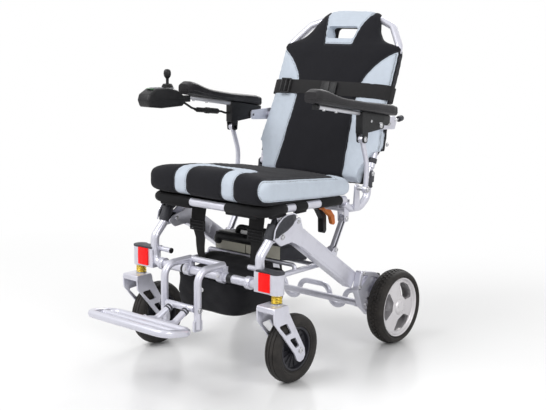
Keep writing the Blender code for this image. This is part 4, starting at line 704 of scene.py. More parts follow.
MAG = worn_paint("mag_wheel", (0.68, 0.66, 0.68), (0.54, 0.52, 0.53), 0.33, 0.55)
fit_pair("rear_rim", "rear_wheel_", MAG, joined(carved(casting, *windows), *window_lips),
         "rear_rim", sharp=40)
cap_profile = ((0.0, 0.0262), (0.0145, 0.0258), (0.0195, 0.0240), (0.0225, 0.0205), (0.0230, 0.0195),
               (0.0, 0.0195))
screws = []
SCREWS, SCREW_CIRCLE = 5, 0.0138
for number in range(SCREWS):
    angle = math.radians(360 / SCREWS * number + 20)
    spot = (AXLE[0] + SCREW_CIRCLE * math.cos(angle), AXLE[1] + SCREW_CIRCLE * math.sin(angle))
    screws.append(bolt(spot, REAR_X + 0.0252, REAR_X + 0.0268, 0.0020))
hub_cap = joined(turned(cap_profile, (REAR_X, *AXLE), sides=48), *screws)
fit_pair("hub_cap", "rear_wheel_", MAG, hub_cap, sharp=40)

# Front hoop
# One bent tube makes both front legs and the cross tube between them. Dark sleeves cover the weld marks,
# and a short stub with a plug points inwards from each leg.

LEG_R = 0.012
HOOP_Z = 0.258
LEG_TOP, LEG_BEND, LEG_FOOT = Vector((0.0505, 0.4010)), Vector((0.034, 0.364)), Vector((0.000, 0.330))
half = [Vector((ARM_X, *spot)) for spot in (LEG_TOP, LEG_BEND, LEG_FOOT, (0, HOOP_Z))]
hoop = tube(whole(half), LEG_R, 0.024, sides=24)
stubs, plugs = [], []
for hand in (-1, 1):
    stubs.append(rod((hand * ARM_X, 0.010, 0.297), (hand * 0.141, 0.0139, 0.2941), 0.007))
    stubs.append(rod((hand * 0.1805, 0.0107, 0.2965), (hand * 0.1765, 0.0110, 0.2962), 0.0086, bevel=0.001))
    plugs.append(rod((hand * 0.143, 0.0138, 0.2942), (hand * 0.1385, 0.0141, 0.2939), 0.0078, bevel=0.0015))
fit("front_hoop", "front_frame", SILVER, joined(hoop, *stubs), ["front_hoop"])
sleeves = [
    across((0, HOOP_Z), -0.079, -0.064, LEG_R + 0.0022, 24, 0.0012),
    across((0, HOOP_Z), 0.086, 0.101, LEG_R + 0.0022, 24, 0.0012),
]
fit("hoop_sleeves", "front_frame", BLACK, joined(*sleeves, *plugs))

# Knee knuckles
# A dark cast sleeve is clamped on each leg's top. Its lug turns on the knee bolt, and a tongue above it
# carries the seat rail.

SEAT_PIVOT = Vector((0.066, 0.420))
leg_along = (LEG_TOP - LEG_BEND).normalized()


def at(x, spot):
    return Vector((x, spot[0], spot[1]))


sleeve = rod(*(at(ARM_X, spot + leg_along * 0.004) for spot in (LEG_BEND, LEG_TOP)), 0.0150, 28, 0.0018)
grip_rings = []
for low in (0.007, 0.013):
    ends = [at(ARM_X, LEG_BEND + leg_along * share) for share in (low, low + 0.003)]
    grip_rings.append(rod(*ends, 0.0162, 28, 0.0008))
knee_lug = across(KNEE, *around(ARM_X, 0.010), 0.0150, 28, 0.0012)
web = plate((LEG_BEND + leg_along * 0.008, Vector(KNEE) + Vector((0.002, -0.014)),
             Vector(KNEE) + Vector((0.002, 0.014)), LEG_BEND + leg_along * 0.036), *around(ARM_X, 0.010),
            0.003, 0.001)
cross_way = Vector((leg_along.y, -leg_along.x)) * 0.0085
tongue = plate(strip(LEG_TOP, SEAT_PIVOT, cross_way), *around(ARM_X, 0.006), 0.002, 0.0008)
seat_eye = across(SEAT_PIVOT, *around(ARM_X, 0.006), 0.0095, 24, 0.0008)
knuckle = joined(sleeve, *grip_rings, knee_lug, web, tongue, seat_eye)
fit_pair("knee_knuckle", "front_frame", DARK, knuckle, "knee_knuckle")

# Caster housings
# The housing over each caster is a round boss with a flat web clamped on the leg. A dark cap closes it on
# top, and a red reflector is bonded to the web's front.

CASTER_X = 0.246
BOSS_R = 0.0195
BOSS_LOW, BOSS_TOP = 0.243, 0.301
WEB_X, WEB_HALF = 0.184, 0.0155
outline = [(WEB_X, -WEB_HALF)]
outline += [(CASTER_X + BOSS_R * math.sin(math.radians(turn)), -BOSS_R * math.cos(math.radians(turn)))
            for turn in range(-38, 219, 8)]
outline += [(WEB_X, WEB_HALF)]


def upright(outline_, low_z, high_z, rounding=0.0, bevel=0.0):
    """A plan outline of (across, behind) points, raised between two heights."""
    lying = plate([(y, x) for x, y in outline_], low_z, high_z, rounding, bevel)
    lying.transform(Matrix(((0, 0, 1, 0), (0, 1, 0, 0), (1, 0, 0, 0), (0, 0, 0, 1))))
    lying.flip_normals()
    return lying


housing = upright(outline, BOSS_LOW, BOSS_TOP - 0.005, 0, 0.0016)
stem_hole = rod((CASTER_X, 0, BOSS_LOW - 0.01), (CASTER_X, 0, BOSS_TOP - 0.008), 0.0090)
housing = carved(housing, stem_hole)
fit_pair("caster_housing", "front_frame", SILVER, housing, "caster_housing", sharp=30)
cap_outline = [(x + (0.0009 if x > CASTER_X - 0.02 else 0.006), y * 1.05) for x, y in outline]
cap = upright(cap_outline, BOSS_TOP - 0.0052, BOSS_TOP, 0, 0.0014)
dome = turned([(0.0, 0.0012), (0.010, 0.0010), (0.0125, 0.0), (0.0, 0.0)],
              (CASTER_X, 0, BOSS_TOP - 0.0002), "Z", 32)
fit_pair("housing_cap", "front_frame", DARK, joined(cap, dome), sharp=30)

# The reflector's faint red emission is painted light: a glow for the light it sends back.
RED, shader, spot = finish("red_reflector", (0.90, 0.002, 0.002), 0.30, Coat_Weight=0.1,
                           Specular_IOR_Level=0.2, Emission_Color=(0.9, 0.0, 0.0, 1),
                           Emission_Strength=0.22)
xyz = spot.axes()
cells = (xyz[0] * 1900).maths("SINE", xyz[0] * 1900) * (xyz[2] * 1900).maths("SINE", xyz[2] * 1900)
prism = cells.clamped(-1, 1) * 0.35 + noise(spot, 60) * 0.2
prism.mix((0.95, 0.002, 0.001, 1), (0.70, 0.001, 0.001, 1)).into(shader.inputs["Base Color"])
bump(cells, shader, 0.0002)
front_y = -WEB_HALF - 0.0003
lens = plate(oblong(front_y - 0.0038, front_y, 0.2485, 0.2958), 0.2015, 0.2385, 0, 0.0005)
fit_pair("reflector", "front_frame", RED, lens, "reflector")

# Sprung stems
# A steel stem slides in each housing on a gilt coil spring. The spring's ends are closed and ground flat
# between a collar and the housing.

FORK_TOP = 0.219
collar_low = FORK_TOP + 0.0003
stem = joined(
    rod((CASTER_X, 0, FORK_TOP - 0.014), (CASTER_X, 0, BOSS_LOW + 0.038), 0.008, 28),
    rod((CASTER_X, 0, collar_low), (CASTER_X, 0, collar_low + 0.002), 0.0155, 28, 0.0005),
)
fit_pair("suspension_stem", "suspension_", STEEL, stem, "suspension_stem")
GOLD = worn_paint("gold_spring", (0.83, 0.60, 0.05), (0.60, 0.40, 0.03), 0.26, 0.75)
WIRE_R, COIL_R, TURNS = 0.0016, 0.0127, 5.5
spring_low, spring_high = collar_low + 0.0024 + WIRE_R, BOSS_LOW - 0.0003 - WIRE_R
coil, steps = [], int(TURNS * 28)
for number in range(steps + 1):
    share = number / steps
    turn = 2 * math.pi * TURNS * share
    ease = min(1.0, max(0.0, (share * TURNS - 0.55) / (TURNS - 1.1)))
    coil.append((CASTER_X + COIL_R * math.cos(turn), COIL_R * math.sin(turn),
                 spring_low + (spring_high - spring_low) * ease))
springs = fit_pair("caster_spring", "suspension_", GOLD,
                   tube(coil, WIRE_R, sides=10, bead=0.0006), "caster_spring", sharp=60)
spring_length, travel = spring_high - spring_low + 2 * WIRE_R, 0.0102
for (side, hand), spring in zip(SIDES, springs):
    "suspension_" + side + "_travel"
    1 - travel / spring_length
    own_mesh(spring)

# Caster forks
# Each fork is one casting: a crown that turns on the stem and two side plates that taper down and back to
# the axle, with two windows in each.

AXLE_SPOT = (0.062, 0.090)
FORK_INNER, FORK_PLATE = 0.025, 0.005
fork_outline = (
    (-0.044, FORK_TOP - 0.002), (-0.042, 0.180), (0.039, 0.085), (0.050, 0.064), (0.062, 0.058),
    (0.075, 0.062), (0.082, 0.073), (0.080, 0.092), (0.015, 0.198), (0.012, FORK_TOP - 0.002),
)
fork_windows = (
    ((-0.026, 0.171), (0.006, 0.173), (0.026, 0.143), (0.004, 0.141)),
    ((0.017, 0.128), (0.040, 0.129), (0.057, 0.103), (0.042, 0.100)),
)
reach = FORK_INNER + FORK_PLATE
fork_parts = []
for low in (CASTER_X - reach, CASTER_X + FORK_INNER):
    side = plate(fork_outline, low, low + FORK_PLATE, 0.008, 0.0012)
    fork_parts.append(carved(side, *[plate(shape, low - 0.01, low + FORK_PLATE + 0.01, 0.003)
                                     for shape in fork_windows]))
crown = plate(oblong(-0.043, 0.011, FORK_TOP - 0.016, FORK_TOP),
              CASTER_X - reach + 0.0007, CASTER_X + reach - 0.0007, 0.004, 0.0012, segments=3)
fork = joined(carved(crown, rod((CASTER_X, 0, 0.2), (CASTER_X, 0, 0.23), 0.0086)), *fork_parts)
fit_pair("caster_fork", "caster_", SILVER, fork, "caster_fork")
caster_axle = [across(AXLE_SPOT, *around(CASTER_X, reach), 0.005)]
caster_axle += [bolt(AXLE_SPOT, CASTER_X + hand * reach, CASTER_X + hand * (reach + 0.0048), 0.0066)
                for hand in (-1, 1)]
fit_pair("caster_axle", "caster_", STEEL, joined(*caster_axle))

# Caster wheels
# The front wheels are 7 inch tyres with three shallow grooves, on dark moulded wheels with fine ribs.

CASTER_RIM = 0.058
inner = CASTER_RIM + 0.0004
profile = [(inner, -0.0165), (inner, 0.0165), (0.0605, 0.0188), (0.0622, 0.0184), (0.0645, 0.0204),
           (0.0690, 0.0222), (0.0705, 0.0217), (0.0722, 0.0226), (0.0780, 0.0222), (0.0830, 0.0196),
           (0.0862, 0.0155), (0.0880, 0.0112), (0.0865, 0.0104), (0.0867, 0.0092), (0.0889, 0.0084),
           (0.0896, 0.0048), (0.0898, 0.0012), (0.0882, 0.0006)]
profile += [(radius, -along_) for radius, along_ in profile[:1:-1]]
fit_pair("caster_tyre", "caster_wheel_", TYRE,
         turned(profile, (CASTER_X, *AXLE_SPOT), sides=80), "caster_tyre", sharp=30)
hub = FORK_INNER - 0.0004
profile = ((0.0055, -hub), (0.0125, -hub), (0.0150, -hub + 0.003), (0.0175, -0.0075), (0.0440, -0.0045),
           (0.0500, -0.0060), (0.0520, -0.0160), (0.0560, -0.0170), (CASTER_RIM, -0.0160),
           (CASTER_RIM, 0.0160), (0.0560, 0.0170), (0.0520, 0.0160), (0.0500, 0.0060), (0.0440, 0.0045),
           (0.0175, 0.0075), (0.0150, hub - 0.003), (0.0125, hub), (0.0055, hub))
wheel = turned(profile, (CASTER_X, *AXLE_SPOT), sides=80)
spokes = []
SPOKES = 15
for number in range(SPOKES):
    turn_ = Matrix.Rotation(math.radians(360 / SPOKES * number + 12), 4, "X")
    spin = Matrix.Translation((0, *AXLE_SPOT)) @ turn_
    for face in (-1, 1):
        spoke = rod((CASTER_X + face * 0.0080, 0.0165, 0), (CASTER_X + face * 0.0062, 0.0505, 0), 0.0013, 8)
        spoke.transform(spin)
        spokes.append(spoke)
RIM_BLACK = moulded("caster_rim_black", (0.018, 0.018, 0.024), (0.055, 0.055, 0.064), 0.36)
fit_pair("caster_rim", "caster_wheel_", RIM_BLACK, joined(wheel, *spokes),
         "caster_rim", sharp=35)

# Footrest hanger
# An inverted U of silver tube is clamped on the hoop's cross tube. Two lugs at its feet hold the hinge
# bolts of the footplate.

HANGER_R, HANGER_X, HANGER_Y = 0.010, 0.060, -0.090
HANGER_TOP, HANGER_REAR, HANGER_FOOT = 0.287, 0.008, 0.136
FOOT_HINGE = (-0.092, 0.187)
half = [Vector((HANGER_X, HANGER_Y, HANGER_FOOT)), Vector((HANGER_X, HANGER_Y, HANGER_TOP)),
        Vector((HANGER_X, HANGER_REAR, HANGER_TOP))]
legs = [tube(half, HANGER_R, 0.034, sides=22, bead=0.0012)]
legs.append(mirrored(legs[0]))
bridge = [Vector((HANGER_X - 0.004, HANGER_REAR, HANGER_TOP)),
          Vector((-HANGER_X + 0.004, HANGER_REAR, HANGER_TOP))]
extras = [tube(bridge, 0.0085, sides=20)]
hanger_bolts = []
for hand in (-1, 1):
    x, bolt_x = hand * HANGER_X, hand * (HANGER_X + HANGER_R)
    extras.append(across((0, HOOP_Z), x - 0.009, x + 0.013, LEG_R + 0.0048, 28, 0.0015))
    saddle = ((-0.012, HOOP_Z), (0.012, HOOP_Z), (HANGER_REAR + 0.006, HANGER_TOP - 0.002),
              (-0.004, HANGER_TOP))
    extras.append(plate(saddle, x - 0.007, x + 0.011, 0.002, 0.0015))
    foot_lug = oblong(HANGER_Y - 0.016, HANGER_Y + 0.014, HANGER_FOOT - 0.006, HANGER_FOOT + 0.024)
    extras.append(plate(foot_lug, *around(x, 0.0035), 0.005, 0.0008))
    hanger_bolts.append(across(FOOT_HINGE, min(x, hand * 0.030), max(x, hand * 0.030), 0.004))
    hanger_bolts.append(bolt(FOOT_HINGE, bolt_x, bolt_x + hand * 0.0042, 0.0058))
    saddle_bolt = (x + 0.002, -0.019, HOOP_Z + 0.004), (x + 0.002, -0.0145, HOOP_Z + 0.003)
    hanger_bolts.append(rod(*saddle_bolt, 0.0042, 18, 0.0008))
fit("footrest_hanger", "front_frame", SILVER, joined(*legs, *extras), ["footrest_hanger"])
fit("hanger_bolts", "front_frame", STEEL, joined(*hanger_bolts))

# Footplate
# The footplate is a loop of tube with a middle bar. Two bent struts join it to a hinge bar, so that it
# flips up between the hanger's legs.

FOOT_X, FOOT_R = 0.140, 0.010
FOOT_FRONT, FOOT_REAR = Vector((-0.285, 0.184)), Vector((-0.195, 0.168))
corners = [at(FOOT_X, FOOT_FRONT), at(FOOT_X, FOOT_REAR), at(-FOOT_X, FOOT_REAR), at(-FOOT_X, FOOT_FRONT)]
parts = [tube(corners, FOOT_R, 0.028, sides=22, closed=True)]
middle = FOOT_FRONT.lerp(FOOT_REAR, 0.55)
parts.append(across(middle, -FOOT_X, FOOT_X, 0.008, 20))
hinge_reach = HANGER_X - HANGER_R - 0.0003
parts.append(across(FOOT_HINGE, -hinge_reach, hinge_reach, 0.009, 24, 0.001))
bushes = []
WELD_R = 0.0086
for hand in (-1, 1):
    strut = [at(hand * 0.028, FOOT_HINGE), at(hand * 0.032, (-0.150, 0.158)), at(hand * 0.034, FOOT_REAR)]
    parts.append(tube(strut, 0.0088, 0.020, sides=16))
    way = (strut[1] - strut[0]).normalized()
    for near, far in ((0.011, 0.016), (0.019, 0.023)):
        bushes.append(rod(strut[0] + way * near, strut[0] + way * far, 0.0104, 20, 0.0008))
    weld = [at(hand * 0.034, FOOT_REAR) + Vector((WELD_R * math.cos(a), 0.0098, WELD_R * math.sin(a)))
            for a in np.linspace(0, 2 * math.pi, 18)[:-1]]
    parts.append(tube(weld, 0.0011, sides=6, closed=True))
fit("footplate", "footrest", SILVER, joined(*parts), ["footplate"])
fit("strut_bushes", "footrest", DARK, joined(*bushes))

# Tray
# Two rails hang on the hoop's cross tube by collars and run back to a rear bar. A cradle bar and a rest bar
# carry the battery, and a third bar carries the bag.

TRAY_X, TRAY_R, TRAY_Z = 0.157, 0.0075, 0.254
rail = [at(-TRAY_X, (0, TRAY_Z)), at(-TRAY_X, (0.388, TRAY_Z))]
parts = [tube(whole(rail), TRAY_R, 0.030, sides=18)]
for hand in (-1, 1):
    parts.append(across((0, HOOP_Z), *around(hand * TRAY_X, 0.008), LEG_R + 0.005, 28, 0.0014))
    parts.append(rod((hand * TRAY_X, -0.0195, HOOP_Z), (hand * TRAY_X, -0.014, HOOP_Z), 0.0042, 16, 0.0008))
cradle = [at(-TRAY_X, (0.183, TRAY_Z)), at(-TRAY_X, (0.183, 0.2713))]
parts.append(tube(whole(cradle), 0.006, 0.012, sides=16))
parts += [across(spot, -TRAY_X, TRAY_X, 0.006) for spot in ((0.273, 0.2576), (0.100, TRAY_Z))]
fit("tray_frame", "tray", SILVER, joined(*parts), ["tray_frame"])

# Battery
# The pack is a slab with a sloping lid: two pale front panels on a dark case, and a black lid with a
# padded roll along its front edge and a carrying handle behind it.

CASE_X = 0.121
FRONT_Y, REAR_Y = 0.168, 0.285
FRONT_LOW, FRONT_HIGH, REAR_LOW, REAR_HIGH = 0.280, 0.330, 0.2622, 0.318
case = plate(((FRONT_Y + 0.0015, FRONT_LOW), (REAR_Y, REAR_LOW), (REAR_Y, REAR_HIGH),
              (FRONT_Y + 0.0015, FRONT_HIGH)),
             -CASE_X, CASE_X, 0.005, 0.003, segments=3)
case = carved(case, plate(((FRONT_Y - 0.01, 0.3165), (REAR_Y + 0.01, 0.3035), (REAR_Y + 0.01, 0.3048),
                           (FRONT_Y - 0.01, 0.3178)), -0.2, 0.2))
lid = plate(((FRONT_Y + 0.001, FRONT_HIGH - 0.008), (REAR_Y - 0.006, REAR_HIGH - 0.007),
             (REAR_Y - 0.008, REAR_HIGH + 0.0022), (FRONT_Y + 0.006, FRONT_HIGH + 0.0035)),
            -CASE_X + 0.008, CASE_X - 0.008, 0.006, 0.002)
roll = [(-0.108, FRONT_Y + 0.002, 0.2960), (-0.108, FRONT_Y + 0.004, 0.3200),
        (0.070, FRONT_Y + 0.004, 0.3200)]
grip_y, grip_z = FRONT_Y + 0.022, FRONT_HIGH + 0.018
grip = [(-0.056, grip_y, FRONT_HIGH - 0.008), (-0.050, grip_y, grip_z), (0.059, grip_y, grip_z),
        (0.065, grip_y, FRONT_HIGH - 0.008)]
fit("battery_case", "tray", DARK, case, ["battery_pack"])
fit("battery_lid", "tray", BLACK,
    joined(lid, tube(roll, 0.0142, 0.018, sides=26, bead=0.005), tube(grip, 0.0078, 0.014, sides=20)))
CREAM = moulded("battery_cream", (0.66, 0.64, 0.54), (0.56, 0.53, 0.43), 0.46)
panel = oblong(FRONT_Y - 0.0008, FRONT_Y + 0.004, FRONT_LOW + 0.002, FRONT_HIGH - 0.012)
panels = [plate(panel, *ends, 0.001, 0.0012) for ends in ((-0.117, -0.006), (-0.003, 0.117))]
fit("battery_panels", "tray", CREAM, joined(*panels))

# Storage bag
# A soft bag hangs under the tray, and its padded flap rises behind the hoop. It has a press stud in front,
# piping round its foot, and four plated rings for its webbing on the bag bar.


def loft(sections):
    """A closed form through rings that have the same number of points."""
    work = bmesh.new()
    rings = [[work.verts.new(point) for point in section] for section in sections]
    count = len(rings[0])
    for near, far in zip(rings, rings[1:]):
        for index in range(count):
            other = (index + 1) % count
            work.faces.new((near[index], near[other], far[other], far[index]))
    for ring in (rings[0], rings[-1]):
        middle = work.verts.new(sum((point.co for point in ring), Vector()) / count)
        for index in range(count):
            work.faces.new((ring[index], ring[(index + 1) % count], middle))
    return outward(work)


def squared_round(half_width, low, high, count, squareness):
    """Points of a rounded box outline, centred across and between two heights."""
    ring, middle, reach = [], (low + high) / 2, (high - low) / 2
    for index in range(count):
        turn = 2 * math.pi * (index + 0.5) / count
        points = [math.copysign(abs(part) ** (2 / squareness), part)
                  for part in (math.cos(turn), math.sin(turn))]
        ring.append((half_width * points[0], middle + reach * points[1]))
    return ring


def remeshed(mesh, voxel, smoothing=4):
    """The same form in even small faces, with its sharp edges eased."""
    holder = bpy.data.objects.new("work", mesh)
    scene.collection.objects.link(holder)
    remesh = holder.modifiers.new("Remesh", "REMESH")
    remesh.mode = "VOXEL"
    remesh.voxel_size = voxel
    smooth = holder.modifiers.new("Smooth", "SMOOTH")
    smooth.factor, smooth.iterations = 0.5, smoothing
    made = bpy.data.meshes.new_from_object(holder.evaluated_get(bpy.context.evaluated_depsgraph_get()))
    bpy.data.objects.remove(holder)
    return made


def points_of(mesh):
    values = np.empty(len(mesh.vertices) * 3)
    mesh.vertices.foreach_get("co", values)
    return values.reshape(-1, 3)


def normals_of(mesh):
    values = np.empty(len(mesh.vertices) * 3)
    mesh.vertex_normals.foreach_get("vector", values)
    return values.reshape(-1, 3)


def pushed(mesh, depth):
    """Moves each vertex along its normal by its own depth."""
    mesh.vertices.foreach_set("co", (points_of(mesh) + normals_of(mesh) * depth[:, None]).ravel())
    mesh.update()
    return mesh


def fabric(name, dark, light, roughness=0.86, weave=5200):
    """Knitted cover cloth. The mesh's panel attribute says which side of a seam a point is on, in metres."""
    made, shader, spot = finish(name, dark, roughness, Sheen_Weight=0.05, Sheen_Roughness=0.5,
                                Specular_IOR_Level=0.18)
    place_ = [part * weave for part in spot.axes()]
    knit = spot.maths("SINE", place_[0]) * spot.maths("COSINE", place_[1])
    knit = knit + spot.maths("SINE", place_[1]) * spot.maths("COSINE", place_[2])
    knit = (knit + spot.maths("SINE", place_[2]) * spot.maths("COSINE", place_[0])).clamped(-1.5, 1.5)
    mottle = noise(spot, 46, 4.0, 0.6)
    seam = spot.node("Attribute", {"attribute_name": "panel"}, output="Fac")
    pale = seam.clamped(-0.0005, 0.0005)
    shade = (mottle - 0.5) * 0.9 + (knit - 0.5) * 0.5
    dark_cloth = (shade + 0.5).mix((*[c * 0.72 for c in dark], 1), (*[min(1, c * 1.35) for c in dark], 1))
    light_cloth = (shade + 0.5).mix((*[c * 0.90 for c in light], 1),
                                    (*[min(1, c * 1.07) for c in light], 1))
    cloth = pale.mix(dark_cloth, light_cloth)
    across_ = spot.maths("ABSOLUTE", spot.maths("ABSOLUTE", seam) - 0.0032)
    stitch = (1 - across_.clamped(0.0004, 0.0009)) * spot.maths(
        "SINE", (place_[0] + place_[1] + place_[2]) * 0.22).clamped(-0.1, 0.1)
    thread = (stitch * 0.75).mix(cloth, (0.10, 0.10, 0.11, 1))
    thread.into(shader.inputs["Base Color"])
    (mottle * 0.10 + roughness - 0.05).into(shader.inputs["Roughness"])
    creases = noise(spot, 17, 3.0, 0.55)
    bump(knit * 0.12 + creases * 1.6 + stitch * 0.5, shader, 0.0012, 0.8)
    return made


def sewn(mesh, distance):
    """Writes the panel attribute that the cover cloth reads."""
    mesh.attributes.new("panel", "FLOAT", "POINT").data.foreach_set("value", distance.astype(np.float32))
    return mesh


bag_top = TRAY_Z - 0.0063
sections = []
for share, swell in ((0.0, 0.72), (0.015, 0.86), (0.05, 0.95), (0.16, 1.0), (0.35, 1.008), (0.55, 1.01),
                     (0.75, 1.0), (0.9, 0.995), (0.985, 0.985), (1.0, 0.965)):
    height = 0.150 + (bag_top - 0.150) * share
    width = (0.111 + 0.009 * share) * swell
    front = -0.002 + 0.040 * (1 - swell)
    middle, reach = (front + 0.215) / 2, (0.215 - front) / 2 * (0.9 + 0.1 * swell)
    sections.append([(x, y, height) for x, y in squared_round(width, *around(middle, reach), 64, 7)])
flap = plate(((0.088, 0.242), (0.150, 0.242), (0.158, 0.250), (0.158, 0.280), (0.128, 0.281),
              (0.094, 0.268)), -0.109, 0.109, 0.008, 0.005)
bag = remeshed(joined(loft(sections), flap), 0.004, 3)
spots = points_of(bag)
x, y, z = spots.T
sag = 0.0035 * np.exp(-((z - 0.185) / 0.022) ** 2) - 0.0026 * np.exp(-((z - 0.232) / 0.010) ** 2)
wrinkle = 0.0012 * np.sin(x * 95 + z * 40) * np.sin(z * 120 + y * 60)
fold = -0.0020 * np.exp(-(np.abs(z - 0.188 - 0.004 * np.cos(x * 22)) / 0.0022) ** 2) * (y < 0.05)
bag = pushed(bag, sag * 0.6 + wrinkle - 0.0018 + fold)
BAG = fabric("black_canvas", (0.009, 0.009, 0.011), (0.009, 0.009, 0.011), 0.78, 4200)
bag = carved(bag, across((0, HOOP_Z), -0.2, 0.2, LEG_R + 0.0055, 32))
bag = sewn(bag, np.full(len(bag.vertices), -1.0))
storage_bag = fit("storage_bag", "tray", BAG, bag, ["storage_bag"], sharp=80)
outline = squared_round(0.1165 * 0.945, 0.0022, 0.211, 72, 7)
fit("bag_piping", "tray", BLACK,
    tube([(x, y, 0.158) for x, y in outline], 0.0016, sides=8, closed=True))
stud = turned([(0.0, 0.0024), (0.0030, 0.0020), (0.0052, 0.0004), (0.0060, 0.0), (0.0, 0.0)],
              (0, 0, 0), "Z", 24)
stud.transform(Matrix.Translation((-0.0085, -0.0035, 0.2105)) @ Matrix.Rotation(math.pi / 2, 4, "X"))
rings = [tube([(x, y, TRAY_Z + 0.008) for x, y in oblong(*around(middle, 0.010), 0.092, 0.108)],
              0.0016, 0.004, sides=8, closed=True) for middle in (-0.086, -0.052, 0.086, 0.118)]
fit("bag_stud", "tray", STEEL, joined(stud, *rings))

# Seat frame
# A bent silver tube makes both rails and the front edge. J-shaped tubes rise behind it to the back's
# sockets, a cross tube joins them, and clevises below hold the pivots.

RAIL_X, RAIL_R = 0.197, 0.011
RAIL_FRONT, RAIL_KNEE, RAIL_REAR = (0.012, 0.440), (0.062, 0.4441), (0.350, 0.434)
J_TUBE = ((0.344, 0.424), (0.372, 0.406), (0.424, 0.404), (0.458, 0.428), (0.463, 0.482))
SEAT_CROSS = (0.352, 0.408)
LINK_HEAD = (0.355, 0.380)
BACK_HINGE = (0.4676, 0.495)
ARM_FOOT = (0.392, 0.462)
ARM_SUPPORT_X = 0.237


def clevis(hand, spot, high):
    """A forked bracket under the rail for a pivot, with two ears."""
    shape = ((spot[0] - 0.009, spot[1] - 0.009), (spot[0] + 0.009, spot[1] - 0.009),
             (spot[0] + 0.013, high - 0.001), (spot[0] - 0.013, high - 0.001))
    ears = [plate(shape, *sorted((hand * ARM_X + side * 0.008, hand * ARM_X + side * 0.012)), 0.004, 0.0008)
            for side in (-1, 1)]
    roof = plate(oblong(spot[0] - 0.013, spot[0] + 0.013, high - 0.008, high - 0.001),
                 *around(hand * ARM_X, 0.012), 0.001, 0.0006)
    return ears + [roof]


half = [at(RAIL_X, RAIL_REAR), at(RAIL_X, RAIL_KNEE), at(RAIL_X, RAIL_FRONT)]
parts = [tube(whole(half), RAIL_R, 0.030, sides=24, bead=0.001),
         across(SEAT_CROSS, -RAIL_X, RAIL_X, 0.009, 24)]
seat_bolts, sockets = [], []
for hand in (-1, 1):
    parts.append(tube([at(hand * RAIL_X, spot) for spot in J_TUBE], RAIL_R, 0.032, sides=24, bead=0.001))
    for spot, high in ((SEAT_PIVOT, RAIL_KNEE[1]), (LINK_HEAD, RAIL_REAR[1])):
        parts += clevis(hand, spot, high)
        seat_bolts.append(across(spot, *around(hand * ARM_X, 0.0125), 0.005))
        seat_bolts.append(bolt(spot, hand * (ARM_X + 0.012), hand * (ARM_X + 0.0155), 0.0058))
    stub = ((0.378, 0.400), (0.406, 0.400), (0.401, 0.470), (0.392, 0.474), (0.383, 0.470))
    parts.append(plate(stub, *span(hand, RAIL_X + RAIL_R - 0.003, RAIL_X + RAIL_R + 0.003), 0.006, 0.001))
    low_x, high_x = span(hand, RAIL_X + RAIL_R, ARM_SUPPORT_X + 0.010)
    seat_bolts.append(across(ARM_FOOT, low_x, high_x, 0.0058, 20, 0.001))
    top = J_TUBE[-1]
    sockets.append(rod((hand * RAIL_X, 0.4605, 0.455), at(hand * RAIL_X, top), RAIL_R + 0.0024, 28, 0.0014))
    sockets.append(rod((hand * RAIL_X, 0.4606, 0.4572), (hand * RAIL_X, 0.4608, 0.4602),
                       RAIL_R + 0.0034, 28, 0.0008))
    for ear in (-1, 1):
        low_x, high_x = sorted((hand * RAIL_X + ear * 0.0063, hand * RAIL_X + ear * 0.0125))
        shape = ((top[0] - 0.006, 0.470), (top[0] + 0.011, 0.470),
                 (BACK_HINGE[0] + 0.009, BACK_HINGE[1] + 0.003), (BACK_HINGE[0], BACK_HINGE[1] + 0.009),
                 (BACK_HINGE[0] - 0.009, BACK_HINGE[1] + 0.003))
        sockets.append(plate(shape, low_x, high_x, 0.002, 0.0008))
    seat_bolts.append(across(BACK_HINGE, *around(hand * RAIL_X, 0.0135), 0.0049))
    seat_bolts.append(bolt(BACK_HINGE, hand * (RAIL_X + 0.0125), hand * (RAIL_X + 0.016), 0.0052))
fit("seat_frame", "seat", SILVER, joined(*parts), ["seat_frame"])
fit("back_sockets", "seat", DARK, joined(*sockets))
fit("seat_bolts", "seat", STEEL, joined(*seat_bolts))

# Seat links
# A flat link on each side levels the seat when the frame folds. A dark inlay runs along it, and its ends
# are round eyes.

foot, head = Vector(LINK_FOOT), Vector(LINK_HEAD)
way = (head - foot).normalized()
side = Vector((way.y, -way.x)) * 0.0078
link = [plate(strip(foot, head, side), *around(ARM_X, 0.006), 0, 0.001)]
link += [across(spot, *around(ARM_X, 0.006), 0.010, 28, 0.001) for spot in (LINK_FOOT, LINK_HEAD)]
fit_pair("seat_link", "seat_links", SILVER, joined(*link), "seat_link")
fit_pair("link_groove", "seat_links", DARK,
         plate(strip(foot, head, side * 0.45), *around(ARM_X, 0.0064), 0.002, 0.0003))

# Seat lock
# A dark pull handle hangs from the seat's cross tube and locks the fold. A small orange lever beside it
# lets the lock go.

LOCK_X, RELEASE_X = 0.100, 0.124
ORANGE = moulded("orange_lever", (0.70, 0.17, 0.02), (0.80, 0.30, 0.08), 0.38)
grip = plate(((0.342, 0.412), (0.366, 0.410), (0.386, 0.372), (0.388, 0.330), (0.382, 0.322),
              (0.372, 0.324), (0.370, 0.366), (0.348, 0.396)), *around(LOCK_X, 0.010), 0.005,
              0.0022, segments=3)
hoops = [across(SEAT_CROSS, LOCK_X + offset - 0.0035, LOCK_X + offset + 0.0035, 0.0142, 28, 0.001)
         for offset in (-0.0072, 0, 0.0072)]
fit("fold_lock_handle", "fold_lock", BLACK, joined(grip, *hoops), ["fold_lock_handle"])
tongue = plate(((0.350, 0.418), (0.366, 0.408), (0.398, 0.374), (0.402, 0.352), (0.395, 0.346),
                (0.387, 0.352), (0.380, 0.372), (0.346, 0.398)), *around(RELEASE_X, 0.006), 0.004, 0.0018)
collar = across(SEAT_CROSS, *around(RELEASE_X, 0.009), 0.0132, 28, 0.0012)
fit("fold_release_lever", "fold_release", ORANGE, joined(tongue, collar),
    ["fold_release_lever"])

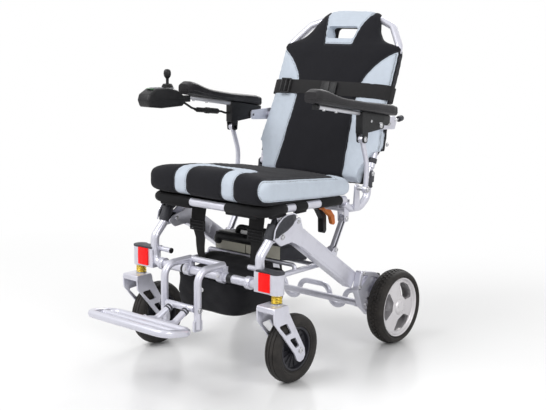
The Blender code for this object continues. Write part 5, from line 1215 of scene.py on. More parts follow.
# Seat sling
# A black cloth is stretched between the rails under the cushion. Its sleeves wrap the rails and the front
# tube, and leave short lengths of bare tube between them.

SLING = fabric("sling_cloth", (0.008, 0.008, 0.009), (0.008, 0.008, 0.009), 0.80, 3800)
work = bmesh.new()
columns, rows = 24, 20
SLING_FRONT, SLING_REAR, SLING_SAG = 0.0245, 0.332, 0.0016
WRAP_R = RAIL_R + 0.0019
lines = []
reach = RAIL_X - 0.004
for row in range(rows + 1):
    y = SLING_FRONT + (SLING_REAR - SLING_FRONT) * row / rows
    z = float(np.interp(y, (SLING_FRONT, 0.040, SLING_REAR), (0.4440, 0.4456, 0.4365)))
    lines.append([work.verts.new((reach * share, y, z - SLING_SAG * (1 - share ** 2)))
                  for share in (2 * n / columns - 1 for n in range(columns + 1))])
for near, far in zip(lines, lines[1:]):
    for n in range(columns):
        work.faces.new((near[n], near[n + 1], far[n + 1], far[n]))
cloth = outward(work)
cloth = sewn(cloth, np.full(len(cloth.vertices), -1.0))
sling = fit("seat_sling", "seat", SLING, cloth, ["seat_sling"], sharp=80)
thick = sling.modifiers.new("thickness", "SOLIDIFY")
thick.thickness, thick.offset = 0.0014, 0.0
front_left = [at(RAIL_X, (0.088, 0.4433)), at(RAIL_X, RAIL_KNEE), at(RAIL_X, RAIL_FRONT),
              (0.066, *RAIL_FRONT)]
front_right = [(-x, y, z) for x, y, z in front_left[:3]] + [(-0.060, *RAIL_FRONT)]
sleeves = [tube(route, WRAP_R, 0.030, sides=22, bead=0.0014) for route in (front_left, front_right)]
for near, far in ((0.124, 0.172), (0.232, 0.326)):
    ends = [float(np.interp(y, (0.062, 0.350), (0.4441, 0.434))) for y in (near, far)]
    for hand in (-1, 1):
        sleeves.append(rod((hand * RAIL_X, near, ends[0]), (hand * RAIL_X, far, ends[1]),
                           WRAP_R, 22, 0.0012))
hems = []
for ends in ((-0.172, -0.062), (0.068, 0.172)):
    hems.append(plate(((0.004, 0.4315), (0.0165, 0.4300), (0.0180, 0.4235), (0.0150, 0.4218),
                       (0.0050, 0.4232)), *ends, 0.002, 0.0012))
for hand in (-1, 1):
    for near, far in ((0.024, 0.088), (0.124, 0.172)):
        hems.append(plate(((near, 0.4330), (far, 0.4325), (far - 0.002, 0.4245), (near + 0.002, 0.4245)),
                          *span(hand, RAIL_X + 0.0075, RAIL_X - 0.0010), 0.003, 0.0012))
wraps = joined(*sleeves, *hems)
wraps = sewn(wraps, np.full(len(wraps.vertices), -1.0))
sling_wraps = fit("sling_wraps", "seat", SLING, wraps, sharp=50)

# Tray straps
# Two webbing straps hold the tray under the sling. A ladder buckle joins a wide upper strap to a narrower
# one below it on each side.


def ribbon(path, faces, side, widths, thickness, closed=False):
    """A flat band along the path. Its outer face looks along faces, and side is its width's direction."""
    work = bmesh.new()
    rings = []
    for point, face, across_, width in zip(path, faces, side, widths):
        point, face, across_ = Vector(point), Vector(face).normalized(), Vector(across_).normalized()
        half_ = across_ * width / 2
        edge = face * thickness
        rings.append([work.verts.new(spot) for spot in (
            point - half_, point - half_ + edge * 0.85, point - half_ * 0.94 + edge,
            point + half_ * 0.94 + edge, point + half_ + edge * 0.85, point + half_)])
    pairs = list(zip(rings, rings[1:])) + ([(rings[-1], rings[0])] if closed else [])
    for near, far in pairs:
        for index in range(6):
            other = (index + 1) % 6
            work.faces.new((near[index], near[other], far[other], far[index]))
    if not closed:
        work.faces.new(rings[0])
        work.faces.new(rings[-1])
    return outward(work)


WEBBING, shader, spot = finish("webbing", (0.010, 0.010, 0.011), 0.72, Sheen_Weight=0.05,
                               Specular_IOR_Level=0.2)
xyz = spot.axes()
ribs = spot.maths("SINE", xyz[2] * 3600) * 0.5 + spot.maths("SINE", xyz[0] * 2600) * 0.3
mottle = noise(spot, 60, 4.0, 0.6)
shade = mottle * 0.7 + ribs.clamped(-1, 1) * 0.4
shade.mix((0.006, 0.006, 0.007, 1), (0.025, 0.024, 0.025, 1)).into(shader.inputs["Base Color"])
(mottle * 0.14 + 0.62).into(shader.inputs["Roughness"])
bump(ribs, shader, 0.0003)

for side_name, hand in SIDES:
    top = [(0.0935, 0.4415), (0.0905, 0.425), (0.0870, 0.400), (0.0840, 0.378), (0.0830, 0.361)]
    path = [(hand * (0.1040 + 0.0016 * n / 4), *spot) for n, spot in enumerate(top)]
    upper = ribbon(path, [(0, -1, 0.12)] * 5, [(1, 0, 0)] * 5, (0.050, 0.052, 0.052, 0.050, 0.046), 0.0020)
    strap = fit("upper_strap_" + side_name, None, WEBBING, upper)
    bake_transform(strap)
    low = [(0.0835, 0.356), (0.0860, 0.340), (0.0890, 0.325), (0.0870, 0.302), (0.0870, 0.282),
           (0.0930, 0.266)]
    path = [(hand * (0.1050 - 0.0095 * n / 5), *spot) for n, spot in enumerate(low)]
    lower = ribbon(path, [(0, -1, 0.12)] * 6, [(1, 0, 0)] * 6,
                   (0.040, 0.037, 0.035, 0.031, 0.028, 0.027), 0.0020)
    strap = fit("lower_strap_" + side_name, None, WEBBING, lower)
    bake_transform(strap)
    middle = Vector((hand * 0.1056, 0.0825, 0.361))
    bars = [rod(middle + Vector((-0.027, -0.001, z)), middle + Vector((0.027, -0.001, z)),
                0.0024, 14, 0.0008)
            for z in (-0.0130, -0.0045, 0.0045, 0.0130)]
    bars += [rod(middle + Vector((x, -0.001, -0.0142)), middle + Vector((x, -0.001, 0.0142)),
                 0.0026, 14, 0.0008)
             for x in (-0.026, 0.026)]
    tail = ribbon([middle + Vector((0, 0.0004 + 0.0004 * n, 0.010 - 0.010 * n)) for n in range(3)],
                  [(0, -1, 0)] * 3, [(1, 0, 0)] * 3, (0.047, 0.047, 0.047), 0.0022)
    fit("strap_buckle_" + side_name, "front_frame", BLACK, joined(*bars))
    fit("strap_tail_" + side_name, "front_frame", WEBBING, tail)

# Seat cushion
# The cushion is boxed, with a rolled front and a crowned top. Pale panels are sewn round its sides, and a
# pale arch runs up the front on two legs and across the top.

CUSHION_X, CUSHION_FRONT, CUSHION_REAR, CUSHION_CORNER = 0.2135, -0.0085, 0.3505, 0.032


def cushion_top(y):
    return 0.529 - 0.030 * (y + 0.010) / 0.362


def polygon_distance(points, outline):
    """Distance in a plane from each point to a closed outline: positive inside it, negative outside."""
    corners = np.array(outline, float)
    inside, least = np.zeros(len(points), bool), np.full(len(points), 1e9)
    px, py = points.T
    for (ax, ay), (bx, by) in zip(corners, np.roll(corners, -1, axis=0)):
        length_2 = max((bx - ax) ** 2 + (by - ay) ** 2, 1e-12)
        share = np.clip(((px - ax) * (bx - ax) + (py - ay) * (by - ay)) / length_2, 0, 1)
        least = np.minimum(least, np.hypot(px - ax - share * (bx - ax), py - ay - share * (by - ay)))
        crosses = (ay > py) != (by > py)
        inside ^= crosses & (px < (bx - ax) * (py - ay) / (by - ay if by != ay else 1e-12) + ax)
    return np.where(inside, least, -least)


def rounded(outline, radius):
    return [(p.x, p.y) for p in bent([(x, y, 0) for x, y in outline], radius, math.radians(6), closed=True)]


ARCH = rounded([(-0.105, -0.2), (-0.063, -0.2), (-0.063, 0.062), (0.063, 0.062), (0.063, -0.2),
                (0.105, -0.2), (0.105, 0.104), (-0.105, 0.104)], 0.026)
SIDE = rounded([(-0.025, -0.0045), (-0.025, -0.0575), (0.46, -0.0535), (0.46, -0.0045)], 0.0262)
WEDGE = rounded([(0.146, 0.322), (0.186, 0.3085), (0.30, 0.272), (0.30, 0.46), (0.176, 0.46)], 0.004)


def cushion_panels(spots):
    """How far each point lies inside the pale cloth, negative in the black."""
    x, y, z = spots.T
    drop = z - cushion_top(y)
    round_corner = np.maximum(0, 0.205 - np.abs(x))
    along_side = np.where(y < 0.17, y - round_corner, y + round_corner) - np.where(x < 0, 0.055, 0)
    arch = polygon_distance(np.c_[x, y], ARCH)
    arch = np.minimum(arch, drop + 0.0700)
    side_ = polygon_distance(np.c_[along_side, drop], SIDE)
    wedge = np.minimum(polygon_distance(np.c_[np.abs(x), y], WEDGE), drop + 0.016)
    return np.maximum.reduce([arch, side_, wedge])


sections = []
rows = 40
for row in range(rows):
    share = 0.5 - 0.5 * math.cos(math.pi * row / (rows - 1))
    y = CUSHION_FRONT + (CUSHION_REAR - CUSHION_FRONT) * share
    bottom, top = 0.4546 - 0.012 * share, cushion_top(y) - 0.0010
    front_roll = math.sqrt(max(0.0, 1 - (1 - min(1.0, (y - CUSHION_FRONT) / 0.040)) ** 2))
    rear_roll = math.sqrt(max(0.0, 1 - (1 - min(1.0, (CUSHION_REAR - y) / 0.018)) ** 2))
    roll = 0.30 + 0.70 * min(front_roll, rear_roll)
    middle = bottom + (top - bottom) * 0.45
    low, high = middle - (middle - bottom) * roll, middle + (top - middle) * roll
    into_corner = max(0.0, 1 - (y - CUSHION_FRONT) / CUSHION_CORNER)
    corner = CUSHION_CORNER * (1 - math.sqrt(1 - into_corner ** 2))
    width = CUSHION_X - 0.005 * math.sin(math.pi * share) - corner
    ring = []
    for across_, up in squared_round(width, low, high, 120, 7):
        crown = 0.0135 * roll * max(0.0, 1 - (across_ / width) ** 2) if up > (low + high) / 2 else 0
        ring.append((across_, y, up + crown * math.sin(math.pi * min(1.0, 0.25 + 0.75 * share))))
    sections.append(ring)
cushion = remeshed(loft(sections), 0.0042, 5)
spots = points_of(cushion)
x, y, z = spots.T
seam = np.abs(cushion_panels(spots))
upper = np.clip((z - 0.452) / 0.012, 0, 1)
puff = 0.0022 * (1 - np.exp(-seam / 0.011)) - 0.0034 * np.exp(-(seam / 0.0028) ** 2)
wrinkle = 0.0008 * np.sin(x * 31 + y * 17) * np.sin(y * 43 - x * 11)
wrinkle += 0.0005 * np.sin(x * 73) * np.sin(y * 61 + 1)
near_seam = np.exp(-seam / 0.016)
gather = 0.0006 * near_seam * np.sin((x + y * 0.7 + z) * 340)
cushion = pushed(cushion, upper * (puff + wrinkle + gather) - 0.0006)
cushion = sewn(cushion, cushion_panels(points_of(cushion)))
COVER = fabric("cover_cloth", (0.010, 0.010, 0.013), (0.56, 0.62, 0.70))
seat_cushion = fit("seat_cushion", "seat", COVER, cushion, ["seat_cushion"], sharp=80)

# Back frame
# One bent tube rises from the two hinges and crosses at the top as a push handle. A plate on each side
# carries the armrest's pivot, and a knob on a short shaft locks it.

SHOULDER, HANDLE_END = (0.603, 0.849), (0.657, 0.923)
RECLINE = math.radians(20.9)
UP = Vector((math.sin(RECLINE), math.cos(RECLINE)))
FORWARD = Vector((-UP.y, UP.x))
ARMREST_PIVOT = (0.4446, 0.636)
BACK_PLATE_X, BACK_PLATE = 0.219, 0.0045
hinge = Vector(BACK_HINGE)
half = [at(RAIL_X, hinge + UP * 0.016), at(RAIL_X, SHOULDER), Vector((0.150, 0.640, 0.905)),
        at(0.100, HANDLE_END)]
parts = [tube(whole(half), RAIL_R, 0.030, sides=24, bead=0.001)]
knobs, back_bolts = [], []
for hand in (-1, 1):
    side, top = FORWARD * 0.0075, hinge + UP * 0.026
    parts.append(plate(strip(hinge, top, side), *around(hand * RAIL_X, 0.0059), 0, 0.0008))
    parts.append(across(BACK_HINGE, *around(hand * RAIL_X, 0.0059), 0.009, 24, 0.0008))
    collar_spot = hinge + UP * 0.030
    collar_ends = at(hand * RAIL_X, collar_spot), at(hand * RAIL_X, collar_spot + UP * 0.014)
    knobs.append(rod(*collar_ends, RAIL_R + 0.0022, 26, 0.0014))
    front = Vector(ARMREST_PIVOT)
    shape = (front + Vector((-0.010, -0.008)), front + Vector((-0.004, -0.014)), (0.552, 0.616),
             (0.560, 0.636), (0.552, 0.654), front + Vector((-0.004, 0.014)),
             front + Vector((-0.010, 0.008)))
    low_x, high_x = span(hand, BACK_PLATE_X, BACK_PLATE_X + BACK_PLATE)
    parts.append(plate(shape, low_x, high_x, 0.004, 0.001))
    tube_y = BACK_HINGE[0] + (0.632 - BACK_HINGE[1]) * math.tan(RECLINE)
    low_x, high_x = span(hand, RAIL_X, BACK_PLATE_X + 0.001)
    parts.append(across((tube_y, 0.634), low_x, high_x, 0.009, 22))
    bolt_x = hand * (BACK_PLATE_X + BACK_PLATE)
    back_bolts.append(bolt((tube_y, 0.634), bolt_x, bolt_x + hand * 0.004, 0.0055))
    low_x, high_x = span(hand, BACK_PLATE_X, ARM_SUPPORT_X + 0.0135)
    back_bolts.append(across(ARMREST_PIVOT, low_x, high_x, 0.0049, 20, 0.0008))
    x = hand * (BACK_PLATE_X + BACK_PLATE / 2)
    back_bolts.append(rod((x, 0.550, 0.640), (x, 0.582, 0.645), 0.0035, 18))
    knobs.append(rod((x, 0.572, 0.6434), (x, 0.590, 0.6462), 0.0088, 12, 0.002))
    back_bolts.append(bolt((0.539, 0.571), hand * (RAIL_X + 0.010), hand * (RAIL_X + 0.0135), 0.0048))
fit("back_frame", "back", SILVER, joined(*parts), ["back_frame"])
fit("back_knobs", "back", DARK, joined(*knobs))
fit("back_bolts", "back", STEEL, joined(*back_bolts))

# Back cushion
# The padded cover wraps the back tube. Pale side panels are sewn to a black middle that widens to the
# shoulders, and a pale collar surrounds the opening of the handle.

SPINE = (  # (behind the stems, height), half width and fullness of each cross-section
    ((0.4635, 0.462), 0.226, 0.42), ((0.4675, 0.473), 0.2275, 1.0), ((0.490, 0.530), 0.2255, 1.0),
    ((0.507, 0.575), 0.2215, 1.0), ((0.526, 0.625), 0.2145, 1.0), ((0.549, 0.687), 0.2105, 1.0),
    ((0.590, 0.795), 0.2105, 1.0), ((0.602, 0.830), 0.2105, 1.0), ((0.607, 0.845), 0.204, 0.95),
    ((0.6105, 0.853), 0.164, 0.92), ((0.615, 0.864), 0.138, 0.9), ((0.628, 0.889), 0.117, 0.9),
    ((0.648, 0.914), 0.104, 0.9), ((0.665, 0.928), 0.096, 0.8), ((0.674, 0.935), 0.090, 0.40),
)
SPINE_Y, SPINE_Z = ([spot[n] for spot, _, _ in SPINE] for n in (0, 1))
lengths = [0.0]
for (spot, _, _), (after, _, _) in zip(SPINE, SPINE[1:]):
    lengths.append(lengths[-1] + (Vector(after) - Vector(spot)).length)


def back_ring(distance, grow=0.0, count=110):
    """One cross-section of the padded back, at this distance up its spine."""
    y, z, half_width, full = (np.interp(distance, lengths, values) for values in (
        SPINE_Y, SPINE_Z, [s[1] for s in SPINE], [s[2] for s in SPINE]))
    above, below = ([np.interp(distance + step_, lengths, values) for values in (SPINE_Y, SPINE_Z)]
                    for step_ in (0.012, -0.012))
    along_ = Vector([high - low for high, low in zip(above, below)]).normalized()
    ahead = Vector((-along_.y, along_.x))
    ring = []
    for across_, out in squared_round(half_width + grow, -(0.0175 * full + grow),
                                      0.0325 * full + grow, count, 4.5):
        belly = 0.006 * full * (1 - (across_ / (half_width + grow)) ** 2) if out > 0 else 0
        ring.append(at(across_, Vector((y, z)) + ahead * (out + belly)))
    return ring


EDGE_Z = (0.43, 0.50, 0.56, 0.60, 0.64, 0.68, 0.71, 0.741, 0.765, 0.79, 0.808, 0.822, 0.832, 0.838)
EDGE_X = (0.127, 0.124, 0.118, 0.115, 0.112, 0.1095, 0.1085, 0.1130, 0.1250, 0.1450, 0.1640, 0.1840,
          0.2030, 0.230)
SIDE_PANEL = list(zip(EDGE_X, EDGE_Z)) + [(0.30, 0.838), (0.30, 0.43)]
COLLAR_PANEL = ((-0.088, 0.98), (0.088, 0.98), (0.078, 0.938), (0.066, 0.915), (0.0585, 0.893),
                (0.049, 0.853), (-0.049, 0.853), (-0.0585, 0.893), (-0.066, 0.915), (-0.078, 0.938))


def back_panels(spots):
    x, y, z = spots.T
    ahead = (0.474 + (z - 0.489) * math.tan(RECLINE) - y) * math.cos(RECLINE)
    side_ = polygon_distance(np.c_[np.abs(x), z], SIDE_PANEL)
    edge_x = np.interp(z, (0.50, 0.58, 0.63, 0.69), (0.223, 0.2195, 0.2115, 0.2065))
    side_ = np.minimum.reduce([side_, ahead - 0.004, edge_x - np.abs(x)])
    collar_ = np.minimum(polygon_distance(np.c_[x, z], COLLAR_PANEL), np.maximum(ahead + 0.002, z - 0.910))
    return np.maximum(side_, collar_)


steps = 64
cushion = remeshed(loft([back_ring(lengths[-1] * (0.5 - 0.5 * math.cos(math.pi * step / steps)))
                         for step in range(steps + 1)]), 0.0048, 5)
spots = points_of(cushion)
x, y, z = spots.T
seam = np.abs(back_panels(spots))
spread = np.clip((0.86 - z) / 0.03, 0, 1)
puff = 0.0030 * spread * (1 - np.exp(-seam / 0.014)) - 0.0036 * np.exp(-(seam / 0.0030) ** 2)
wrinkle = 0.0009 * np.sin(x * 27 + z * 13) * np.sin(z * 37 - x * 9)
wrinkle += 0.0004 * np.sin(x * 71) * np.sin(z * 57 + 1)
gather = 0.0006 * np.exp(-seam / 0.016) * np.sin((x + z * 0.8) * 330)
cushion = pushed(cushion, puff + wrinkle + gather - 0.0008)
corners = rounded([(-0.049, 0.9005), (0.049, 0.9005), (0.040, 0.8620), (-0.040, 0.8620)], 0.008)
hole = loft([[(x * flare, y, z - (y - 0.6273) * 0.16) for x, z in corners]
             for y, flare in ((0.55, 1.36), (0.612, 1.10), (0.640, 1.0), (0.72, 1.0))])
notches = []
for hand in (-1, 1):
    notch = rounded([(hand * 0.27, 0.557), (hand * 0.204, 0.557), (hand * 0.176, 0.508),
                     (hand * 0.172, 0.44), (hand * 0.27, 0.44)], 0.012)
    notches.append(loft([[(x, y, z) for x, z in notch] for y in (0.36, 0.60)]))
cushion = carved(cushion, hole, *notches)
cushion = sewn(cushion, back_panels(points_of(cushion)))
back_cushion = fit("back_cushion", "back", COVER, cushion, ["back_cushion"], sharp=55)

# Chest belt
# A webbing belt goes round the padded back. It has a side-release buckle in front and a ladder adjuster
# towards the right side.

BELT_LOW, BELT_WIDTH = Vector((0.546, 0.690)), 0.0435
belt_middle = np.interp(BELT_LOW.y + BELT_WIDTH / 2 * UP.y, SPINE_Z, lengths)
inner_ring, outer_ring = (back_ring(float(belt_middle), grow) for grow in (0.0012, 0.0060))
facing = [outer - inner_ for outer, inner_ in zip(outer_ring, inner_ring)]
band = ribbon(inner_ring, facing, [(0, *UP)] * len(inner_ring), [BELT_WIDTH] * len(inner_ring),
              0.0020, closed=True)
fit("chest_belt", "back", WEBBING, band, ["chest_belt"])
tilt = Matrix.Rotation(-RECLINE, 4, "X")


def block(size, bevel, place=(0, 0, 0), turn=Matrix()):
    """A small moulding with eased edges, of this width, depth and height, at this place."""
    width, depth, height = (part / 2 for part in size)
    made = plate(oblong(-depth, depth, -height, height), -width, width, bevel, bevel, segments=3)
    made.transform(Matrix.Translation(place) @ turn)
    return made


front = BELT_LOW + FORWARD * 0.0400 + UP * BELT_WIDTH / 2
halves = []
for offset, size in ((-0.0135, (0.030, 0.0085, 0.040)), (0.0155, (0.026, 0.0075, 0.038))):
    halves.append(block(size, 0.0022, (offset, 0, 0)))
for offset in (-0.024, -0.019, 0.0225, 0.027):
    halves.append(block((0.0016, 0.010, 0.034), 0.0005, (offset, 0, 0)))
buckle = joined(*halves)
buckle.transform(Matrix.Translation((0.012, front.x, front.y)) @ tilt)
bars = [rod((offset, -0.003, -0.0205), (offset, -0.003, 0.0205), 0.0028, 14, 0.001)
        for offset in (-0.016, 0, 0.016)]
bars += [rod((-0.018, -0.003, offset), (0.018, -0.003, offset), 0.0028, 14, 0.001)
         for offset in (-0.0215, 0.0215)]
adjuster = joined(*bars)
spot = front - FORWARD * 0.0015
adjuster.transform(Matrix.Translation((-0.152, spot.x, spot.y)) @ tilt)
fit("belt_buckle", "back", BLACK, joined(buckle, adjuster))

# Armrest supports
# A slender bent tube under each armrest keeps it level as the back folds. It has an eye at each end.

support_top = Vector(ARM_FOOT) + Vector(ARMREST_PIVOT) - Vector(BACK_HINGE)
route = [at(ARM_SUPPORT_X, ARM_FOOT), at(ARM_SUPPORT_X, (0.397, 0.528)), at(ARM_SUPPORT_X, support_top)]
parts = [tube(route, 0.0069, 0.10, sides=20)]
parts += [across(spot, *around(ARM_SUPPORT_X, 0.007), 0.0104, 26, 0.0012)
          for spot in (ARM_FOOT, support_top)]
fit_pair("armrest_support", "arm_support_", SILVER, joined(*parts), "armrest_support")
fit_pair("support_bolt", "seat", STEEL,
         bolt(ARM_FOOT, ARM_SUPPORT_X + 0.0068, ARM_SUPPORT_X + 0.0115, 0.0066))

# Armrest brackets
# A black bracket under each pad's rear holds the pivots. A silver rail runs forward from it under the pad,
# and the left one ends in a clip.


def pad_height(y):
    """Bottom and top of the arm pad at this distance behind the stems."""
    bottom_ = 0.713 - (y - 0.135) * 0.148
    swell_ = 0.005 * min(1.0, max(0.0, (y - 0.36) / 0.12))
    return bottom_, bottom_ + 0.0255 + 0.0135 * math.exp(-((y - 0.178) / 0.052) ** 2) + swell_


low_x, high_x = BACK_PLATE_X + BACK_PLATE + 0.002, ARM_SUPPORT_X + 0.0115
rear = ARMREST_PIVOT[0] + 0.016
top = support_top
body_shape = ((top.x - 0.016, top.y + 0.0145), (rear - 0.004, ARMREST_PIVOT[1] - 0.010),
              (rear, ARMREST_PIVOT[1]), (rear, pad_height(rear)[0] - 0.0003),
              (top.x - 0.016, pad_height(top.x - 0.016)[0] - 0.0003))
body = plate(body_shape, low_x, high_x, 0.004, 0.0022, segments=3)
ear = ((top.x - 0.010, top.y - 0.008), (top.x, top.y - 0.011), (top.x + 0.010, top.y - 0.008),
       (top.x + 0.013, top.y + 0.018), (top.x - 0.013, top.y + 0.018))
ears = [plate(ear, low, low + 0.003, 0.003, 0.0006) for low in (low_x, high_x - 0.003)]
recess = plate(((0.384, 0.6445), (0.444, 0.636), (0.452, 0.646), (0.386, 0.657)), high_x - 0.0012,
               high_x + 0.01, 0.003)
sleeve_shape = ((0.350, pad_height(0.350)[0] - 0.0003), (0.362, pad_height(0.362)[0] - 0.016),
                (0.476, 0.6330), (0.488, 0.6400), (0.490, pad_height(0.490)[0] - 0.0003))
sleeve = plate(sleeve_shape, low_x + 0.0005, high_x - 0.0005, 0.004, 0.002)
bracket = joined(carved(body, recess), sleeve, *ears)
BRACKET = moulded("bracket_black", (0.008, 0.008, 0.009), (0.026, 0.026, 0.029), 0.42)
fit_pair("armrest_bracket", "armrest_", BRACKET, bracket, "armrest_bracket")
RAIL_DROP = 0.0063
rail_front = (0.231, 0.176, pad_height(0.176)[0] - RAIL_DROP)
rail_back = (0.236, 0.403, pad_height(0.403)[0] - RAIL_DROP)
ARM_RAIL = worn_paint("arm_rail_silver", (0.60, 0.60, 0.64), (0.46, 0.46, 0.50), 0.30, 0.5)
fit_pair("arm_rail", "armrest_", ARM_RAIL, rod(rail_front, rail_back, 0.006, 24, 0.001))
fittings = [
    bolt(top, high_x - 0.0002, high_x + 0.0030, 0.0056), across(top, low_x, high_x, 0.0048),
    bolt(ARMREST_PIVOT, high_x - 0.0002, high_x + 0.0024, 0.0060),
    bolt((0.398, 0.6505), high_x - 0.0014, high_x + 0.0006, 0.0030),
    bolt((0.440, 0.6425), high_x - 0.0014, high_x + 0.0006, 0.0030),
]
for y in (0.198, 0.252):
    z = pad_height(y)[0] - RAIL_DROP
    fittings.append(rod((0.2335, y, z - 0.0086), (0.2335, y, z - 0.0030), 0.0040, 18, 0.0009))
fit_pair("armrest_bolts", "armrest_", STEEL, joined(*fittings))
z = pad_height(0.170)[0]
clip = [plate(((0.160, z - 0.0140), (0.174, z - 0.0152), (0.174, z - 0.0128), (0.1628, z - 0.0118),
               (0.1628, z - 0.0005), (0.160, z - 0.0003)), 0.224, 0.238, 0.001, 0.0006)]
clip.append(rod((0.231, 0.1610, z - RAIL_DROP), (0.231, 0.1765, z - 0.0073), 0.0066, 20, 0.001))
fit("rail_clip_left", "armrest_left", BRACKET, joined(*clip))

# Arm pads
# Each pad is moulded in dark foam, with a hump behind its blunt front end and a thicker rear. A fine rim
# follows its lower edge.

PAD = moulded("arm_pad", (0.014, 0.013, 0.015), (0.042, 0.040, 0.044), 0.40)
PAD_REAR, PAD_HALF, PAD_ROWS = 0.492, 0.0228, 44
PAD_X, PAD_SPLAY = 0.229, 0.019


def arm_pad(front_y):
    """A pad from this front end to the rear end that both share, with its rim line."""
    sections_, rim = [], []
    for row_ in range(PAD_ROWS):
        share_ = 0.5 - 0.5 * math.cos(math.pi * row_ / (PAD_ROWS - 1))
        y_ = front_y + (PAD_REAR - front_y) * share_
        low_, high_ = pad_height(y_)
        end = min(1.0, 0.62 + 8 * share_, 0.62 + 8 * (1 - share_))
        end = min(end, math.sqrt(max(0.0, min(1.0, 0.36 + share_ * 18))))
        end = max(end, 0.86) if share_ > 0.5 else end
        middle_x = PAD_X + PAD_SPLAY * min(1.0, share_ / 0.75)
        high_ = low_ + (high_ - low_) * (0.5 + 0.5 * end)
        width_ = PAD_HALF * (0.66 + 0.34 * end)
        ring_ = squared_round(width_, low_, high_, 40, 3.6)
        sections_.append([(middle_x + x_, y_, z_) for x_, z_ in ring_])
        rim.append((middle_x, width_, y_, low_ + (high_ - low_) * 0.34))
    line = [(m + w * 0.995, y_, z_) for m, w, y_, z_ in rim]
    line += [(m - w * 0.995, y_, z_) for m, w, y_, z_ in reversed(rim)]
    return joined(loft(sections_), tube(line, 0.00085, sides=8, closed=True))


for side_name, mesh in (("left", arm_pad(0.147)), ("right", mirrored(arm_pad(0.153)))):
    name = "armrest_pad_" + side_name
    pad = fit(name, "armrest_" + side_name, PAD, mesh, [name], 45)

# Controller
# The drive controller is plugged on to the right rail by a block. Its sloping case has a parting line, four
# keys, a meter of lights, and wells for the stick and the power key.

CONTROLLER_X = 0.240
STICK = Vector((-CONTROLLER_X, 0.101, 0.7295))
outline = ((0.006, 0.700), (0.014, 0.681), (0.060, 0.676), (0.140, 0.678), (0.149, 0.686), (0.148, 0.706),
           (0.120, 0.724), (0.086, 0.732), (0.040, 0.731), (0.012, 0.716))
CASE_HALF = 0.022
case = plate(outline, *around(-CONTROLLER_X, CASE_HALF), 0.008, 0.0055, segments=4)
part_line = []
for hand in (-1, 1):
    x = -CONTROLLER_X + hand * CASE_HALF
    part_line.append(plate(((0.004, 0.7005), (0.152, 0.6965), (0.152, 0.6975), (0.004, 0.7015)),
                           *around(x, 0.0009)))
pocket = rod(STICK - Vector((0, 0, 0.0135)), STICK + Vector((0, 0, 0.02)), 0.0178, 40)
well = rod((-CONTROLLER_X, 0.050, 0.7255), (-CONTROLLER_X, 0.050, 0.74), 0.0063, 28)
CASE = moulded("controller_case", (0.009, 0.009, 0.010), (0.028, 0.028, 0.030), 0.34)
mount = block((0.018, 0.0348, 0.018), 0.002, (-0.231, 0.1574, 0.6975))
fit("controller_case", "armrest_right", CASE,
    joined(carved(case, pocket, well, *part_line), mount), ["controller_case"])
keys = [rod((-CONTROLLER_X + x, y, 0.7305), (-CONTROLLER_X + x, y, 0.7326), 0.0042, 20, 0.0007)
        for x, y in ((-0.0125, 0.068), (0.0125, 0.068), (-0.0125, 0.050), (0.0125, 0.050))]
COLLAR_R = 0.0182
ring = [(-CONTROLLER_X + COLLAR_R * math.cos(a), STICK.y + COLLAR_R * math.sin(a), 0.7302 - 0.0006)
        for a in np.linspace(0, 2 * math.pi, 41)[:-1]]
collar = tube(ring, 0.0013, sides=8, closed=True)
fit("controller_keys", "armrest_right", RIM_GREY, joined(*keys, collar))
LIGHTS, shader, spot = finish("meter_lights", (0.05, 0.30, 0.08), 0.25)
xyz = spot.axes()
bars_ = spot.maths("SINE", xyz[0] * 1900).clamped(-0.2, 0.2)
lit = bars_ * 0.9 + noise(spot, 300) * 0.1
lit.mix((0.008, 0.010, 0.010, 1), (0.10, 0.42, 0.12, 1)).into(shader.inputs["Base Color"])
(noise(spot, 500) * 0.1 + 0.18).into(shader.inputs["Roughness"])
slope = Matrix.Rotation(math.radians(3), 4, "X")
meter = block((0.026, 0.006, 0.0008), 0.0003, (-CONTROLLER_X, 0.0345, 0.7302), slope)
fit("controller_meter", "armrest_right", LIGHTS, meter)

# Joystick
# The stick rises through rubber bellows that tilt with it, and ends in a rounded knob. A power key sits in
# a well in front of it.

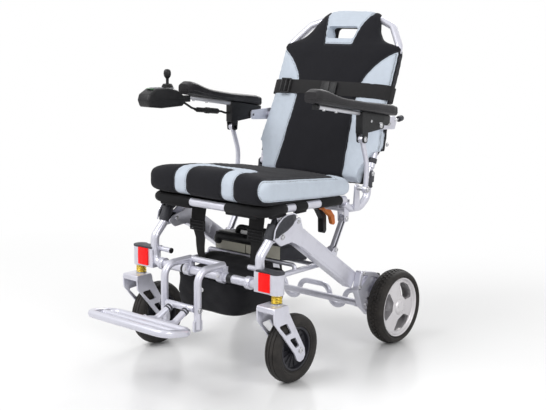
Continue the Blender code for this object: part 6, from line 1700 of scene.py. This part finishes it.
bore = 0.0090
profile = [(bore, -0.0085), (0.0147, -0.0085), (0.0160, -0.0055), (0.0169, -0.0015), (0.0170, 0.0015),
           (0.0160, 0.0028), (0.0165, 0.0046), (0.0148, 0.0062), (0.0152, 0.0082), (0.0132, 0.0096),
           (0.0128, 0.0112), (0.0105, 0.0120), (bore, 0.0120)]
GAITER = rubber("bellows_rubber", (0.013, 0.013, 0.013), (0.045, 0.044, 0.043), 0.58)
fit("joystick_boot", "stick_gimbal", GAITER, turned(profile, STICK, "Z", 40),
    ["joystick_boot"], 50)
profile = [(0.0, -0.0078), (0.0039, -0.0075), (0.0075, -0.0043), (0.0087, 0.0), (0.0078, 0.0042),
           (0.0048, 0.0078), (0.0043, 0.011), (0.0040, 0.018), (0.0043, 0.026), (0.0062, 0.0284),
           (0.0086, 0.0316), (0.0101, 0.0358), (0.0105, 0.0400), (0.0101, 0.0445), (0.0089, 0.0488),
           (0.0066, 0.0514), (0.0035, 0.0524), (0.0, 0.0526)]
fit("joystick", "stick", BLACK, turned(profile, STICK, "Z", 40), ["joystick"], 60)
key = rod((-CONTROLLER_X, 0.050, 0.7278), (-CONTROLLER_X, 0.050, 0.7333), 0.0059, 28, 0.0009)
fit("power_button", "power_key", RIM_GREY, key, ["power_button"])

# Controller cable
# A short lead leaves the case through a strain relief, joins an in-line connector and goes into the
# armrest's bracket.

x, end_x, LEAD_R = -0.247, -0.241, 0.0032
out = [(x, 0.1495, 0.690), (x, 0.175, 0.684), (x, 0.205, 0.668), (x, 0.232, 0.661)]
back = [(x, 0.305, 0.6535), (x, 0.330, 0.651), (end_x, 0.342, 0.646), (end_x, 0.3660, 0.646)]
plug = [rod((x, 0.226, 0.662), (x, 0.272, 0.657), 0.0072, 26, 0.0016)]
plug.append(rod((x, 0.268, 0.6575), (x, 0.314, 0.6525), 0.0083, 26, 0.0016))
plug.append(rod((x, 0.262, 0.6580), (x, 0.279, 0.6563), 0.0092, 26, 0.0016))
for n in range(4):
    y = 0.217 + n * 0.003
    plug.append(rod((x, y, 0.6638 - n * 0.0006), (x, y + 0.0018, 0.6634 - n * 0.0006),
                    0.0040 + n * 0.0006, 18, 0.0005))
relief = [rod((x, 0.1490 + n * 0.0032, 0.6902 - n * 0.0007), (x, 0.1510 + n * 0.0032, 0.6897 - n * 0.0007),
              0.0052 - n * 0.0004, 18, 0.0005) for n in range(4)]
cable = joined(tube(out, LEAD_R, 0.02, sides=14), tube(back, LEAD_R, 0.012, sides=14), *plug, *relief)
LEAD = rubber("lead_rubber", (0.012, 0.012, 0.012), (0.040, 0.039, 0.038), 0.50)
fit("controller_cable", "armrest_right", LEAD, cable, ["controller_cable"])
